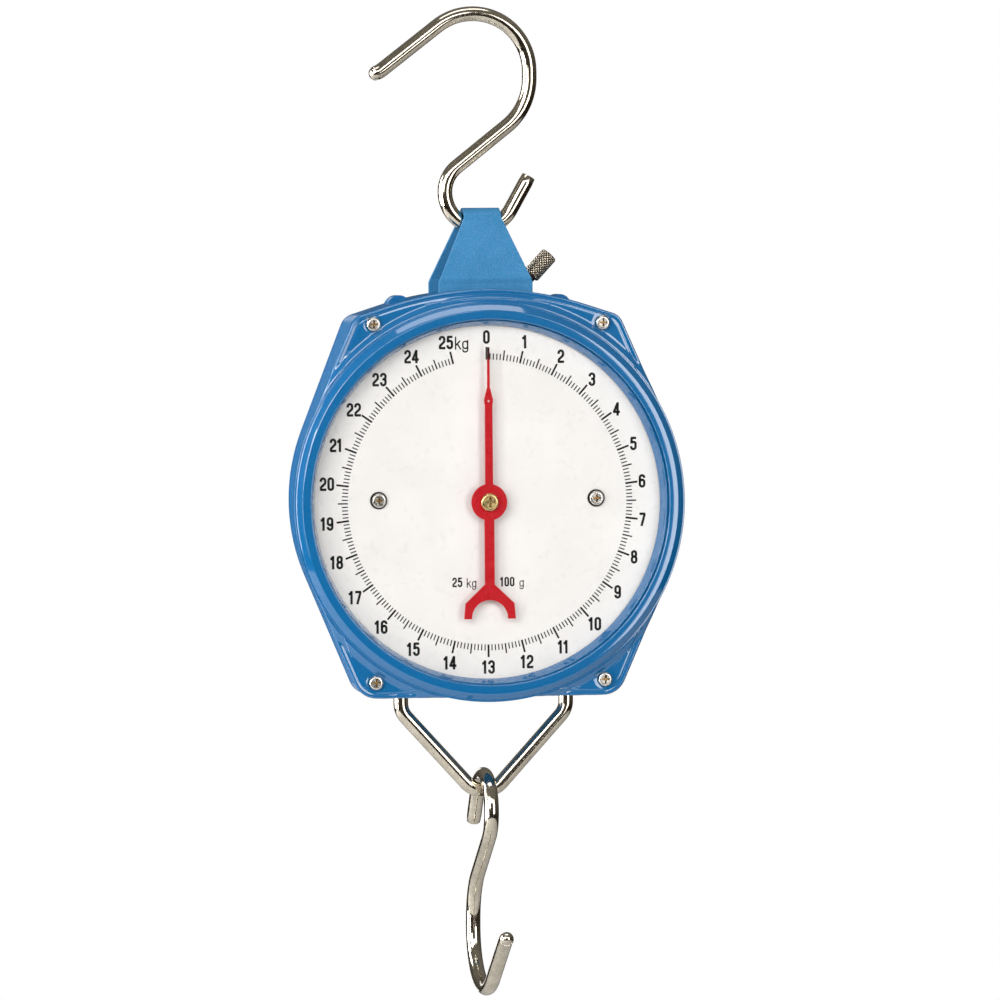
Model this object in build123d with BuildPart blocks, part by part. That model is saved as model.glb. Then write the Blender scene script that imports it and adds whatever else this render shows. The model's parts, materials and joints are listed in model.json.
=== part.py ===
from build123d import *
import os
from math import atan, cos, pi, radians, sin, sqrt, tan

# Hanging dial scale, 25 kg in steps of 100 g, in millimetres.
# Origin: inside of the top hook's bowl, where the scale hangs. +Z up, +X right, the dial faces -Y.
# The load hangs in the plane Y = 0. "Depth" below is the distance in front of that plane.

os.makedirs("parts", exist_ok=True)

# Both hooks and the bail are bent from the same rod
WIRE_R = 3.15
HOOK_POINTS = [
    (21.4, -66.0),
    (9.0, -87.8),
    (-15.2, -87.8),
    (-15.2, -65.9),
    (21.9, -36.7),
    (21.9, 3.3),
    (-11.3, 3.3),
    (-44.0, -21.8),
    (-47.9, -22.4),
]
HOOK_BENDS = [15.2, 15.2, 13.5, 26.0, 24.4, 25.0, 8.5]
HOOK_LOOP_Z = -87.8
HOOK_TILT = 2.0
HOOK_PLAY = 0.35
TIP_ROUNDING = 1.6
CUT_CHAMFER = 0.4

# Casing
DIAL_Z = -204.5
SHEET = 1.2
CASE_BACK = -12.7
CASE_SHOULDER = 11.0
CASE_FRONT = 13.8
NECK_STEP = 0.8
NECK_WALL = 1.0
BEAD_BACK = -9.6
BEAD_FRONT = -8.8
BEAD_DEPTH = 0.5
BACK_ROUNDING = 1.8
CROWN_Z = 97.5
CROWN_R = 140.0
TOP_CORNER = (57.4, 79.15)
TOP_CORNER_R = 7.0
COVER_FLANK = (92.6, 84.6)
COVER_FOOT = (55.9, -82.7)
COVER_FOOT_R = 10.0
CASE_FLANK = (88.4, 81.7)
CASE_FOOT = (53.7, -81.6)
CASE_FOOT_R = 8.0
BUMP_X = 35.0
BUMP_Z = 83.2
BUMP_R = 5.0
BUMP_FRONT = -2.0
SCREW_X = 49.8
SCREW_Z = 76.0
PILLAR_R = 3.3
PILLAR_TIP_R = 2.5
SCREW_R = 1.5
SCREW_PLAY = 0.1
SCREW_HEAD_R = 3.1
SCREW_SEAT_R = 3.5
COVER_SCREW_HEAD = 1.8
COVER_SCREW_LENGTH = 9.0
COVER_SCREW_HOLE = 10.0
BUFFER_X = 18.0
BUFFER_R = 4.0
BUFFER_HEIGHT = 0.9

# Cover, bezel ring and lens
COVER_FACE = 15.0
BAND_TOP = 16.5
BAND_OUTER = 88.0
BAND_INNER = 85.2
BAND_HOLLOW = 82.2
COVER_HOLE = 78.5
RING_R = 84.9
RING_TOP = 19.8
RING_OPENING = 77.7
LENS_R = 80.3
GASKET_BACK = 17.1
LENS_BACK = 17.6
LENS_FRONT = 18.8

# Hanger bracket: one strap folded over the hook's loop
STRAP = 2.0
FOLD_Z = -85.9
FOLD_R = 5.6
FLARE = 12.0
LEG_DEPTH = 10.72
FRONT_FLANGE = 10.2
REAR_FLANGE = -10.5
CREASE_Z = -109.4
FLANGE_TOP = -111.4
FLANGE_END = -124.7
CREASE_R = 1.5
FOLD_HALF = 7.9
FOLD_EDGE_Z = -83.4
BASE_HALF = 20.3
BASE_Z = -110.9
RIVET_SPOTS = [(-12.0, 84.0), (12.0, 84.0)]
RIVET_R = 2.0
RIVET_HEAD_R = 3.4
RIVET_HEAD = 1.2
RIVET_TAPER = 35
BRACKET_SLITS = [(8.9, 11.5), (-11.5, -9.2)]

# Dial, movement and pointer
CHASSIS_BACK = 7.7
CHASSIS_FRONT = 9.2
CHASSIS_GAP = 0.6
DIAL_BACK = 10.2
DIAL_FRONT = 11.2
DIAL_R = 76.0
DIAL_SCREW_SPOTS = [(-47.3, 1.2), (47.3, 1.2)]
DIAL_WASHER = 0.5
DIAL_WASHER_R = 3.7
DIAL_SPACER_R = 4.0
DIAL_SCREW_HEAD = 1.5
DIAL_SCREW_LENGTH = 5.0
DIAL_HOLE_R = 4.0
POINTER_BACK = 14.2
POINTER_FRONT = 15.0
POINTER_SCREW_R = 0.8
POINTER_SCREW_LENGTH = 4.0
POINTER_SCREW_HEAD = 1.8
POINTER_SCREW_HEAD_R = 3.9
POINTER_DISC_R = 7.75
POINTER_HUB_R = 3.0
NEEDLE_HOLE_SPOT = (0, 43.0)
NEEDLE_HOLE_R = 0.5
FORK_SPOT = (0, -49.5)
FORK_R = 7.9
SHAFT_R = 1.5
BRIDGE_BACK = -4.5
BRIDGE_FRONT = -3.0
BRIDGE_SCREW_R = 0.9
BRIDGE_SCREW_HEAD_R = 2.2
BRIDGE_SCREW_HEAD = 1.5
BRIDGE_SCREW_LENGTH = 5.0
BRIDGE_SCREW_HOLE = 4.0
BRIDGE_SCREW_SLOT = (5.0, 0.6)
BRIDGE_PILLAR_R = 2.25
BUSH_FLANGE = 0.8
FRONT_BUSH_R = 3.0
REAR_BUSH_R = 2.5
PILLAR_SPOTS = [(-10.0, 10.0), (-10.0, -10.0)]
GUIDE_SPOT = (11.9, 0.0)
GUIDE_R = 2.6
RUNNING_FIT = 0.05

# Rack and pinion: one turn of the pinion is 8 * pi mm of load travel
MODULE = 0.5
PINION_TEETH = 16
PITCH_R = MODULE * PINION_TEETH / 2
TOOTH_PITCH = pi * MODULE
PRESSURE_ANGLE = radians(20)
ADDENDUM = 0.42
DEDENDUM = 0.62
BACKLASH = 0.14
TOOTH_ROOTING = 0.2
PINION_BACK = -1.5
PINION_FRONT = 2.5
RACK_BACK = -1.0
RACK_FRONT = 2.0
RACK_RIGHT = 9.2
RACK_TEETH_DOWN = 2
RACK_TEETH_UP = 17
RACK_TOP = 28.0
RACK_FOOT = -53.0
RACK_PIN_SPOT = (7.0, -49.0)

# Springs and the two channels that hold them
SPRING_X = 22.0
SPRING_WIRE_R = 1.05
SPRING_R = 6.0
SPRING_PITCH = 2.3
SPRING_TURNS = 28
SPRING_FOOT = -40.7
UPPER_PIN_SPOTS = [(-SPRING_X, 31.0), (SPRING_X, 31.0)]
LOWER_PIN_SPOTS = [(-SPRING_X, -48.0), (SPRING_X, -48.0)]
SPRING_PIN_R = 2.0
LOOP_OFFSET = 2.8
CHANNEL_SHEET = 1.6
CHEEK_MIDDLE = 4.2
CARRIER_HALF = 28.0
CARRIER_FOOT = 26.0
CARRIER_TOP = 37.6
STEM_HALF = 4.0
STEM_EYE_R = 3.2
STEM_DEPTH = 1.5
CARRIER_PIN_R = 1.2
CROSSHEAD_HALF = 41.0
CROSSHEAD_FOOT = -55.0
CROSSHEAD_TOP = -44.0
PIN_END = 5.6

# Bail
BAIL_X = 36.0
BAIL_TOP = -250.5
BAIL_CORNER_Z = -293.6
BAIL_POINT_Z = -332.8
BAIL_CORNER_R = 9.0
BAIL_POINT_R = 10.5
BAIL_SEAT_Z = -327.7
BAIL_PIN_SPOTS = [(-BAIL_X, -49.0), (BAIL_X, -49.0)]
BAIL_PIN_R = 1.25
BAIL_PLAY = 0.45

# Zero adjuster: a knurled screw pulls a nut in a bell crank, which lifts the spring carrier
ZERO_ANGLE = radians(47)
KNOB_X = 26.1
KNOB_Z = 100.6
KNOB_R = 3.75
KNOB_HALF = 6.05
KNOB_CHAMFER = 0.5
KNOB_BOSS_R = 2.5
KNOB_BOSS_END = 9.2
ZERO_SCREW_R = 1.3
THREAD_PLAY = 0.1
ZERO_SCREW_TOP = -3.0
ZERO_SCREW_END = 32.9
BUSH_R = 4.0
BUSH_TOP = 9.5
BUSH_END = 20.3
CLIP_R = 2.6
CLIP_TOP = 20.6
CLIP_END = 21.4
NUT_REACH = 30.0
NUT_R = 2.6
NUT_HALF = 1.9
CRANK_ARM = 10.0
CRANK_INNER = 2.2
CRANK_OUTER = 3.7
CRANK_EDGE_R = 3.6
CRANK_NUT_HOLE_R = 1.75
CRANK_SLOT_WIDTH = 2.9
CRANK_SLOT_PLAY = 0.4
CARRIER_PIN_END = 4.4

zero_cos = cos(ZERO_ANGLE)
zero_sin = sin(ZERO_ANGLE)
NUT_SPOT = (KNOB_X - NUT_REACH * zero_cos, KNOB_Z - NUT_REACH * zero_sin)
CRANK_SPOT = (NUT_SPOT[0] + CRANK_ARM * zero_sin, NUT_SPOT[1] - CRANK_ARM * zero_cos)
STEM_SPOT = (0.0, CRANK_SPOT[1])
CORNER_SPOTS = [(-SCREW_X, SCREW_Z), (SCREW_X, SCREW_Z), (-SCREW_X, -SCREW_Z), (SCREW_X, -SCREW_Z)]
DIAL_AXIS = Axis((0, 0, DIAL_Z), (0, 1, 0))


def at_depth(depth):
    """Plane parallel to the dial and centred on it; x is right, y is up and it faces the front."""
    return Plane(origin=(0, -depth, DIAL_Z), x_dir=(1, 0, 0), z_dir=(0, -1, 0))


def beside_dial_axis():
    """Half plane through the dial's axis, for turned pieces: x is the radius, y the depth."""
    return Plane(origin=(0, 0, DIAL_Z), x_dir=(1, 0, 0), z_dir=(0, 0, -1))


def along_zero_screw(reach):
    """Plane across the zero screw, this far below the middle of its knob, facing up the screw."""
    spot = (KNOB_X - reach * zero_cos, 0, DIAL_Z + KNOB_Z - reach * zero_sin)
    return Plane(origin=spot, x_dir=(0, 1, 0), z_dir=(zero_cos, 0, zero_sin))


def outline(flank, foot, foot_r):
    """Casing seen from the front: a shallow crown, four ears and two round flanks."""
    corners = [
        (0, CROWN_Z),
        TOP_CORNER,
        (flank[0], 0),
        foot,
        (-foot[0], foot[1]),
        (-flank[0], 0),
        (-TOP_CORNER[0], TOP_CORNER[1]),
    ]
    bends = [CROWN_R, TOP_CORNER_R, flank[1], foot_r, foot_r, flank[1], TOP_CORNER_R]
    with BuildLine() as edge:
        FilletPolyline(*corners, radius=bends, close=True)
    make_face(edge.edges())


def bent_hook(plane, points):
    """S-hook of round rod with a flat cut end on its short leg and a rounded tip."""
    with BuildPart() as hook:
        with BuildLine(plane) as shape:
            FilletPolyline(*points, radius=HOOK_BENDS)
        with BuildSketch(Plane(origin=shape.line @ 0, z_dir=shape.line % 0)):
            Circle(WIRE_R)
        sweep(path=shape.line)
        ends = hook.faces().filter_by(GeomType.PLANE)
        fillet(ends.sort_by_distance(shape.line @ 1)[0].edges(), TIP_ROUNDING)
        ends = hook.faces().filter_by(GeomType.PLANE)
        chamfer(ends.sort_by_distance(shape.line @ 0)[0].edges(), CUT_CHAMFER)
    return hook


def cross_screws(spots, seat, head_r, head_height, shank_r, shank_length):
    """Pan-head cross-recess screws whose heads sit at the seat depth and face the front."""
    slot = head_r * 0.26
    reach = head_r * 1.15
    with BuildPart() as screws:
        with BuildSketch(at_depth(seat)):
            with Locations(*spots):
                Circle(head_r)
        extrude(amount=head_height)
        fillet(screws.faces().sort_by(Axis.Y)[:len(spots)].edges(), head_height * 0.6)
        with BuildSketch(at_depth(seat)):
            with Locations(*spots):
                Circle(shank_r)
        extrude(amount=-shank_length)
        with BuildSketch(at_depth(seat + head_height * 0.4)):
            with Locations(*spots):
                Rectangle(reach, slot)
                Rectangle(slot, reach)
        extrude(amount=head_height, mode=Mode.SUBTRACT)
    return screws


def round_pins(spots, radius, back, front):
    """Plain pins that run from back to front."""
    with BuildPart() as pins:
        with BuildSketch(at_depth(back)):
            with Locations(*spots):
                Circle(radius)
        extrude(amount=front - back)
    return pins


def washers(spots, outer, inner, back, front):
    """Flat rings that lie parallel to the dial."""
    with BuildPart() as rings:
        with BuildSketch(at_depth(back)):
            with Locations(*spots):
                Circle(outer)
                Circle(inner, mode=Mode.SUBTRACT)
        extrude(amount=front - back)
    return rings


def turned(*section):
    """Ring turned about the dial's axis from (radius, depth) points."""
    with BuildPart() as ring:
        with BuildSketch(beside_dial_axis()):
            Polygon(*section, align=None)
        revolve(axis=DIAL_AXIS)
    return ring


def rivets(inner, outer):
    """Two rivets that clamp the metal between two depths."""
    with BuildPart() as pair:
        with BuildSketch(at_depth(inner)):
            with Locations(*RIVET_SPOTS):
                Circle(RIVET_R)
        extrude(amount=outer - inner)
        for seat, way in ((outer, 1), (inner, -1)):
            with BuildSketch(at_depth(seat)):
                with Locations(*RIVET_SPOTS):
                    Circle(RIVET_HEAD_R)
            extrude(amount=RIVET_HEAD * way, taper=RIVET_TAPER)
    return pair


def bush(back, front, outer, flange_back):
    """Plain bearing for the pinion shaft, with a thin flange on one side of its plate."""
    with BuildPart() as sleeve:
        with BuildSketch(at_depth(back)):
            Circle(outer)
        extrude(amount=front - back)
        with BuildSketch(at_depth(flange_back)):
            Circle(outer + 1)
        extrude(amount=BUSH_FLANGE)
        with BuildSketch(at_depth(back)):
            Circle(SHAFT_R + RUNNING_FIT)
        extrude(amount=front - back, mode=Mode.SUBTRACT)
    return sleeve


def tension_spring(x):
    """Closed-coil tension spring with a full loop at each end."""
    with BuildPart() as spring:
        with BuildLine(Plane.XY.offset(DIAL_Z + SPRING_FOOT)) as coil:
            Helix(SPRING_PITCH, SPRING_PITCH * SPRING_TURNS, SPRING_R, center=(x, 0, 0))
        with BuildSketch(Plane(origin=coil.line @ 0, z_dir=coil.line % 0)):
            Circle(SPRING_WIRE_R)
        sweep(path=coil.line, is_frenet=True)
        loops = (UPPER_PIN_SPOTS[0][1] - LOOP_OFFSET, LOWER_PIN_SPOTS[0][1] + LOOP_OFFSET)
        for height in loops:
            with Locations(Location((x, 0, DIAL_Z + height), (90, 0, 0))):
                Torus(SPRING_R, SPRING_WIRE_R)
    return spring


# ---------------------------------------------------------------- top hook and hanger bracket

top_hook = bent_hook(Plane.XZ, HOOK_POINTS)
top_hook.part.label = "top_hook"
export_step(top_hook.part, "parts/top_hook.step")

with BuildPart() as hanger_bracket:
    with BuildSketch(Plane.YZ):
        with BuildLine():
            FilletPolyline(
                (-FRONT_FLANGE, FLANGE_END),
                (-FRONT_FLANGE, FLANGE_TOP),
                (-LEG_DEPTH, CREASE_Z),
                (0, FOLD_Z + FOLD_R / sin(radians(FLARE))),
                (LEG_DEPTH, CREASE_Z),
                (-REAR_FLANGE, FLANGE_TOP),
                (-REAR_FLANGE, FLANGE_END),
                radius=[CREASE_R, CREASE_R, FOLD_R, CREASE_R, CREASE_R],
            )
        trace(line_width=STRAP)
    extrude(amount=BASE_HALF, both=True)
    with BuildSketch(Plane.XZ):
        Polygon(
            (-FOLD_HALF, FOLD_Z + 2 * FOLD_R),
            (-FOLD_HALF, FOLD_EDGE_Z),
            (-BASE_HALF, BASE_Z),
            (-BASE_HALF, FLANGE_END),
            (BASE_HALF, FLANGE_END),
            (BASE_HALF, BASE_Z),
            (FOLD_HALF, FOLD_EDGE_Z),
            (FOLD_HALF, FOLD_Z + 2 * FOLD_R),
            align=None,
        )
    extrude(amount=2 * LEG_DEPTH, both=True, mode=Mode.INTERSECT)
    with BuildSketch(at_depth(0)):
        with Locations(*RIVET_SPOTS):
            Circle(RIVET_R)
    extrude(amount=2 * LEG_DEPTH, both=True, mode=Mode.SUBTRACT)
hanger_bracket.part.label = "hanger_bracket"
export_step(hanger_bracket.part, "parts/hanger_bracket.step")

front_rivets = rivets(CHASSIS_BACK, FRONT_FLANGE + STRAP / 2)
front_rivets.part.label = "front_rivets"
export_step(front_rivets.part, "parts/front_rivets.step")

rear_rivets = rivets(CASE_BACK, REAR_FLANGE + STRAP / 2)
rear_rivets.part.label = "rear_rivets"
export_step(rear_rivets.part, "parts/rear_rivets.step")

# ---------------------------------------------------------------- casing

with BuildPart() as rear_case:
    for back, front, step in (
        (CASE_BACK, BEAD_BACK, 0),
        (BEAD_BACK, BEAD_FRONT, BEAD_DEPTH),
        (BEAD_FRONT, CASE_SHOULDER, 0),
        (CASE_SHOULDER, CASE_FRONT, NECK_STEP),
    ):
        with BuildSketch(at_depth(back)):
            outline(CASE_FLANK, CASE_FOOT, CASE_FOOT_R)
            if step:
                offset(amount=-step)
        extrude(amount=front - back)
    fillet(rear_case.faces().sort_by(Axis.Y)[-1].edges(), BACK_ROUNDING)
    # two pressed bumps in the top wall
    with BuildSketch(at_depth(CASE_BACK + BACK_ROUNDING)):
        with Locations((-BUMP_X, BUMP_Z), (BUMP_X, BUMP_Z)):
            Circle(BUMP_R)
    extrude(amount=BUMP_FRONT - CASE_BACK - BACK_ROUNDING)
    with BuildSketch(at_depth(CASE_BACK + SHEET)):
        outline(CASE_FLANK, CASE_FOOT, CASE_FOOT_R)
        offset(amount=-SHEET)
    extrude(amount=CASE_SHOULDER - CASE_BACK - 2 * SHEET, mode=Mode.SUBTRACT)
    with BuildSketch(at_depth(CASE_SHOULDER - SHEET)):
        outline(CASE_FLANK, CASE_FOOT, CASE_FOOT_R)
        offset(amount=-NECK_STEP - NECK_WALL)
    extrude(amount=CASE_FRONT, mode=Mode.SUBTRACT)
    # slits for the bracket's two legs
    for back, front in BRACKET_SLITS:
        with BuildSketch(at_depth(back)):
            with Locations((0, RIVET_SPOTS[0][1])):
                Rectangle(2 * BASE_HALF + 1, 2 * (FLANGE_TOP - DIAL_Z - RIVET_SPOTS[0][1]))
        extrude(amount=front - back, mode=Mode.SUBTRACT)
    # holes for the bail's legs
    with BuildSketch(Plane.XY.offset(DIAL_Z + CASE_FOOT[1] - SHEET)):
        with Locations((-BAIL_X, 0), (BAIL_X, 0)):
            Circle(WIRE_R + BAIL_PLAY)
    extrude(amount=3 * SHEET, mode=Mode.SUBTRACT)
    # hole for the zero bush
    with BuildSketch(along_zero_screw(BUSH_END)):
        Circle(BUSH_R)
    extrude(amount=BUSH_END - BUSH_TOP, mode=Mode.SUBTRACT)
    with BuildSketch(at_depth(CASE_BACK)):
        with Locations(*RIVET_SPOTS):
            Circle(RIVET_R)
    extrude(amount=SHEET, mode=Mode.SUBTRACT)
rear_case.part.label = "rear_case"
export_step(rear_case.part, "parts/rear_case.step")

with BuildPart() as case_pillars:
    for radius, front in ((PILLAR_R, CHASSIS_BACK), (PILLAR_TIP_R, CASE_FRONT)):
        with BuildSketch(at_depth(CASE_BACK + SHEET)):
            with Locations(*CORNER_SPOTS):
                Circle(radius)
        extrude(amount=front - CASE_BACK - SHEET)
    with BuildSketch(at_depth(CASE_FRONT)):
        with Locations(*CORNER_SPOTS):
            Circle(SCREW_R)
    extrude(amount=-COVER_SCREW_HOLE, mode=Mode.SUBTRACT)
case_pillars.part.label = "case_pillars"
export_step(case_pillars.part, "parts/case_pillars.step")

with BuildPart() as stop_buffers:
    with BuildSketch(Plane.XY.offset(DIAL_Z + CASE_FOOT[1] + SHEET)):
        with Locations((-BUFFER_X, 0), (BUFFER_X, 0)):
            Circle(BUFFER_R)
    extrude(amount=BUFFER_HEIGHT)
stop_buffers.part.label = "stop_buffers"
export_step(stop_buffers.part, "parts/stop_buffers.step")

with BuildPart() as front_cover:
    with BuildSketch(at_depth(CASE_FRONT)):
        outline(COVER_FLANK, COVER_FOOT, COVER_FOOT_R)
    extrude(amount=COVER_FACE - CASE_FRONT)
    fillet(front_cover.faces().sort_by(Axis.Y)[0].edges(), 0.5)
    # the round part is pressed forward and trimmed where the flanks cut it off
    with BuildSketch(beside_dial_axis()):
        Polygon(
            (RING_OPENING, CASE_FRONT),
            (RING_OPENING, BAND_TOP),
            (BAND_INNER, BAND_TOP),
            (BAND_OUTER, COVER_FACE),
            (BAND_OUTER, CASE_FRONT),
            align=None,
        )
    revolve(axis=DIAL_AXIS)
    with BuildSketch(at_depth(CASE_FRONT)):
        outline(COVER_FLANK, COVER_FOOT, COVER_FOOT_R)
    extrude(amount=BAND_TOP, mode=Mode.INTERSECT)
    with BuildSketch(at_depth(CASE_FRONT)):
        Circle(BAND_HOLLOW)
    extrude(amount=BAND_TOP - SHEET - CASE_FRONT, mode=Mode.SUBTRACT)
    with BuildSketch(at_depth(CASE_FRONT)):
        Circle(COVER_HOLE)
        with Locations(*CORNER_SPOTS):
            Circle(SCREW_R + SCREW_PLAY)
    extrude(amount=BAND_TOP, mode=Mode.SUBTRACT)
    # flats under the screw heads
    with BuildSketch(at_depth(COVER_FACE)):
        with Locations(*CORNER_SPOTS):
            Circle(SCREW_SEAT_R)
    extrude(amount=BAND_TOP, mode=Mode.SUBTRACT)
front_cover.part.label = "front_cover"
export_step(front_cover.part, "parts/front_cover.step")

cover_screws = cross_screws(
    CORNER_SPOTS, COVER_FACE, SCREW_HEAD_R, COVER_SCREW_HEAD, SCREW_R, COVER_SCREW_LENGTH
)
cover_screws.part.label = "cover_screws"
export_step(cover_screws.part, "parts/cover_screws.step")

bezel_ring = turned(
    (RING_R, BAND_TOP),
    (RING_R, BAND_TOP + 0.8),
    (RING_R - 0.9, BAND_TOP + 1.2),
    (81.6, RING_TOP - 0.4),
    (80.6, RING_TOP),
    (78.4, RING_TOP),
    (RING_OPENING, RING_TOP - 0.5),
    (RING_OPENING, LENS_FRONT),
    (LENS_R + 0.3, LENS_FRONT),
    (LENS_R + 0.3, BAND_TOP),
)
bezel_ring.part.label = "bezel_ring"
export_step(bezel_ring.part, "parts/bezel_ring.step")

lens = turned((0, LENS_BACK), (0, LENS_FRONT), (LENS_R, LENS_FRONT), (LENS_R, LENS_BACK))
lens.part.label = "lens"
export_step(lens.part, "parts/lens.step")

lens_gasket = washers([(0, 0)], LENS_R, COVER_HOLE, GASKET_BACK, LENS_BACK)
lens_gasket.part.label = "lens_gasket"
export_step(lens_gasket.part, "parts/lens_gasket.step")

dial_surround = turned(
    (LENS_R, BAND_TOP),
    (LENS_R, GASKET_BACK),
    (77.0, GASKET_BACK),
    (75.0, DIAL_FRONT + 0.8),
    (75.9, DIAL_FRONT + 0.8),
    (77.9, BAND_TOP),
)
dial_surround.part.label = "dial_surround"
export_step(dial_surround.part, "parts/dial_surround.step")

# ---------------------------------------------------------------- chassis, dial and movement

with BuildPart() as chassis_plate:
    with BuildSketch(at_depth(CHASSIS_BACK)):
        outline(CASE_FLANK, CASE_FOOT, CASE_FOOT_R)
        offset(amount=-SHEET - CHASSIS_GAP)
        with Locations(*CORNER_SPOTS):
            Circle(PILLAR_TIP_R, mode=Mode.SUBTRACT)
        with Locations(*DIAL_SCREW_SPOTS, CRANK_SPOT):
            Circle(SCREW_R, mode=Mode.SUBTRACT)
        with Locations(*RIVET_SPOTS):
            Circle(RIVET_R, mode=Mode.SUBTRACT)
        Circle(FRONT_BUSH_R, mode=Mode.SUBTRACT)
    extrude(amount=CHASSIS_FRONT - CHASSIS_BACK)
chassis_plate.part.label = "chassis_plate"
export_step(chassis_plate.part, "parts/chassis_plate.step")

with BuildPart() as dial_plate:
    with BuildSketch(at_depth(DIAL_BACK)):
        Circle(DIAL_R)
        Circle(DIAL_HOLE_R, mode=Mode.SUBTRACT)
        with Locations(*DIAL_SCREW_SPOTS):
            Circle(SCREW_R + SCREW_PLAY, mode=Mode.SUBTRACT)
    extrude(amount=DIAL_FRONT - DIAL_BACK)
dial_plate.part.label = "dial_plate"
export_step(dial_plate.part, "parts/dial_plate.step")

dial_spacers = washers(
    DIAL_SCREW_SPOTS, DIAL_SPACER_R, SCREW_R + SCREW_PLAY, CHASSIS_FRONT, DIAL_BACK
)
dial_spacers.part.label = "dial_spacers"
export_step(dial_spacers.part, "parts/dial_spacers.step")

dial_washers = washers(
    DIAL_SCREW_SPOTS, DIAL_WASHER_R, SCREW_R + SCREW_PLAY, DIAL_FRONT, DIAL_FRONT + DIAL_WASHER
)
dial_washers.part.label = "dial_washers"
export_step(dial_washers.part, "parts/dial_washers.step")

dial_screws = cross_screws(
    DIAL_SCREW_SPOTS,
    DIAL_FRONT + DIAL_WASHER,
    SCREW_HEAD_R,
    DIAL_SCREW_HEAD,
    SCREW_R,
    DIAL_SCREW_LENGTH,
)
dial_screws.part.label = "dial_screws"
export_step(dial_screws.part, "parts/dial_screws.step")

with BuildPart() as movement_bridge:
    with BuildSketch(at_depth(BRIDGE_BACK)):
        with BuildLine():
            FilletPolyline((-13.5, 14), (14.3, 3), (14.3, -3), (-13.5, -14), radius=3, close=True)
        make_face()
        with Locations(*PILLAR_SPOTS, GUIDE_SPOT):
            Circle(BRIDGE_SCREW_R, mode=Mode.SUBTRACT)
        Circle(REAR_BUSH_R, mode=Mode.SUBTRACT)
    extrude(amount=BRIDGE_FRONT - BRIDGE_BACK)
movement_bridge.part.label = "movement_bridge"
export_step(movement_bridge.part, "parts/movement_bridge.step")

with BuildPart() as bridge_pillars:
    with BuildSketch(at_depth(BRIDGE_FRONT)):
        with Locations(*PILLAR_SPOTS):
            Circle(BRIDGE_PILLAR_R)
        with Locations(GUIDE_SPOT):
            Circle(SHAFT_R)
    extrude(amount=CHASSIS_BACK - BRIDGE_FRONT)
    with BuildSketch(at_depth(BRIDGE_FRONT)):
        with Locations(*PILLAR_SPOTS, GUIDE_SPOT):
            Circle(BRIDGE_SCREW_R)
    extrude(amount=BRIDGE_SCREW_HOLE, mode=Mode.SUBTRACT)
bridge_pillars.part.label = "bridge_pillars"
export_step(bridge_pillars.part, "parts/bridge_pillars.step")

with BuildPart() as bridge_screws:
    with BuildSketch(at_depth(BRIDGE_BACK)):
        with Locations(*PILLAR_SPOTS, GUIDE_SPOT):
            Circle(BRIDGE_SCREW_HEAD_R)
    extrude(amount=-BRIDGE_SCREW_HEAD)
    with BuildSketch(at_depth(BRIDGE_BACK)):
        with Locations(*PILLAR_SPOTS, GUIDE_SPOT):
            Circle(BRIDGE_SCREW_R)
    extrude(amount=BRIDGE_SCREW_LENGTH)
    with BuildSketch(at_depth(BRIDGE_BACK - BRIDGE_SCREW_HEAD)):
        with Locations(*PILLAR_SPOTS, GUIDE_SPOT):
            Rectangle(*BRIDGE_SCREW_SLOT)
    extrude(amount=BRIDGE_SCREW_HEAD / 2, mode=Mode.SUBTRACT)
bridge_screws.part.label = "bridge_screws"
export_step(bridge_screws.part, "parts/bridge_screws.step")

rack_guide = washers([GUIDE_SPOT], GUIDE_R, SHAFT_R + RUNNING_FIT, PINION_BACK, PINION_FRONT)
rack_guide.part.label = "rack_guide"
export_step(rack_guide.part, "parts/rack_guide.step")

front_bush = bush(
    CHASSIS_BACK - BUSH_FLANGE, CHASSIS_FRONT + 0.5, FRONT_BUSH_R, CHASSIS_BACK - BUSH_FLANGE
)
front_bush.part.label = "front_bush"
export_step(front_bush.part, "parts/front_bush.step")

rear_bush = bush(BRIDGE_BACK, BRIDGE_FRONT + BUSH_FLANGE, REAR_BUSH_R, BRIDGE_FRONT)
rear_bush.part.label = "rear_bush"
export_step(rear_bush.part, "parts/rear_bush.step")

# ---------------------------------------------------------------- pinion, shaft and pointer

with BuildPart() as pinion_shaft:
    with BuildSketch(at_depth(BRIDGE_BACK - 0.5)):
        Circle(SHAFT_R)
    extrude(amount=POINTER_FRONT - BRIDGE_BACK + 0.5)
    with BuildSketch(at_depth(POINTER_FRONT)):
        Circle(POINTER_SCREW_R)
    extrude(amount=-POINTER_SCREW_LENGTH - 1, mode=Mode.SUBTRACT)
pinion_shaft.part.label = "pinion_shaft"
export_step(pinion_shaft.part, "parts/pinion_shaft.step")


def tooth_half_angle(radius):
    """Half of the angle that one pinion tooth fills at a radius, along its involute flank."""
    base_r = PITCH_R * cos(PRESSURE_ANGLE)
    beyond_base = max(radius, base_r)
    flank_angle = atan(sqrt(beyond_base**2 - base_r**2) / base_r)
    at_pitch = (TOOTH_PITCH - BACKLASH) / (4 * PITCH_R)
    at_pitch_involute = tan(PRESSURE_ANGLE) - PRESSURE_ANGLE
    return at_pitch + at_pitch_involute - (tan(flank_angle) - flank_angle)


tooth_radii = [PITCH_R - DEDENDUM - TOOTH_ROOTING, PITCH_R - ADDENDUM / 2, PITCH_R, PITCH_R + ADDENDUM]
tooth_flank = []
for radius in tooth_radii:
    half_angle = tooth_half_angle(radius)
    tooth_flank.append((radius * cos(half_angle), radius * sin(half_angle)))
tooth_outline = tooth_flank + [(x, -y) for x, y in reversed(tooth_flank)]

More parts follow.
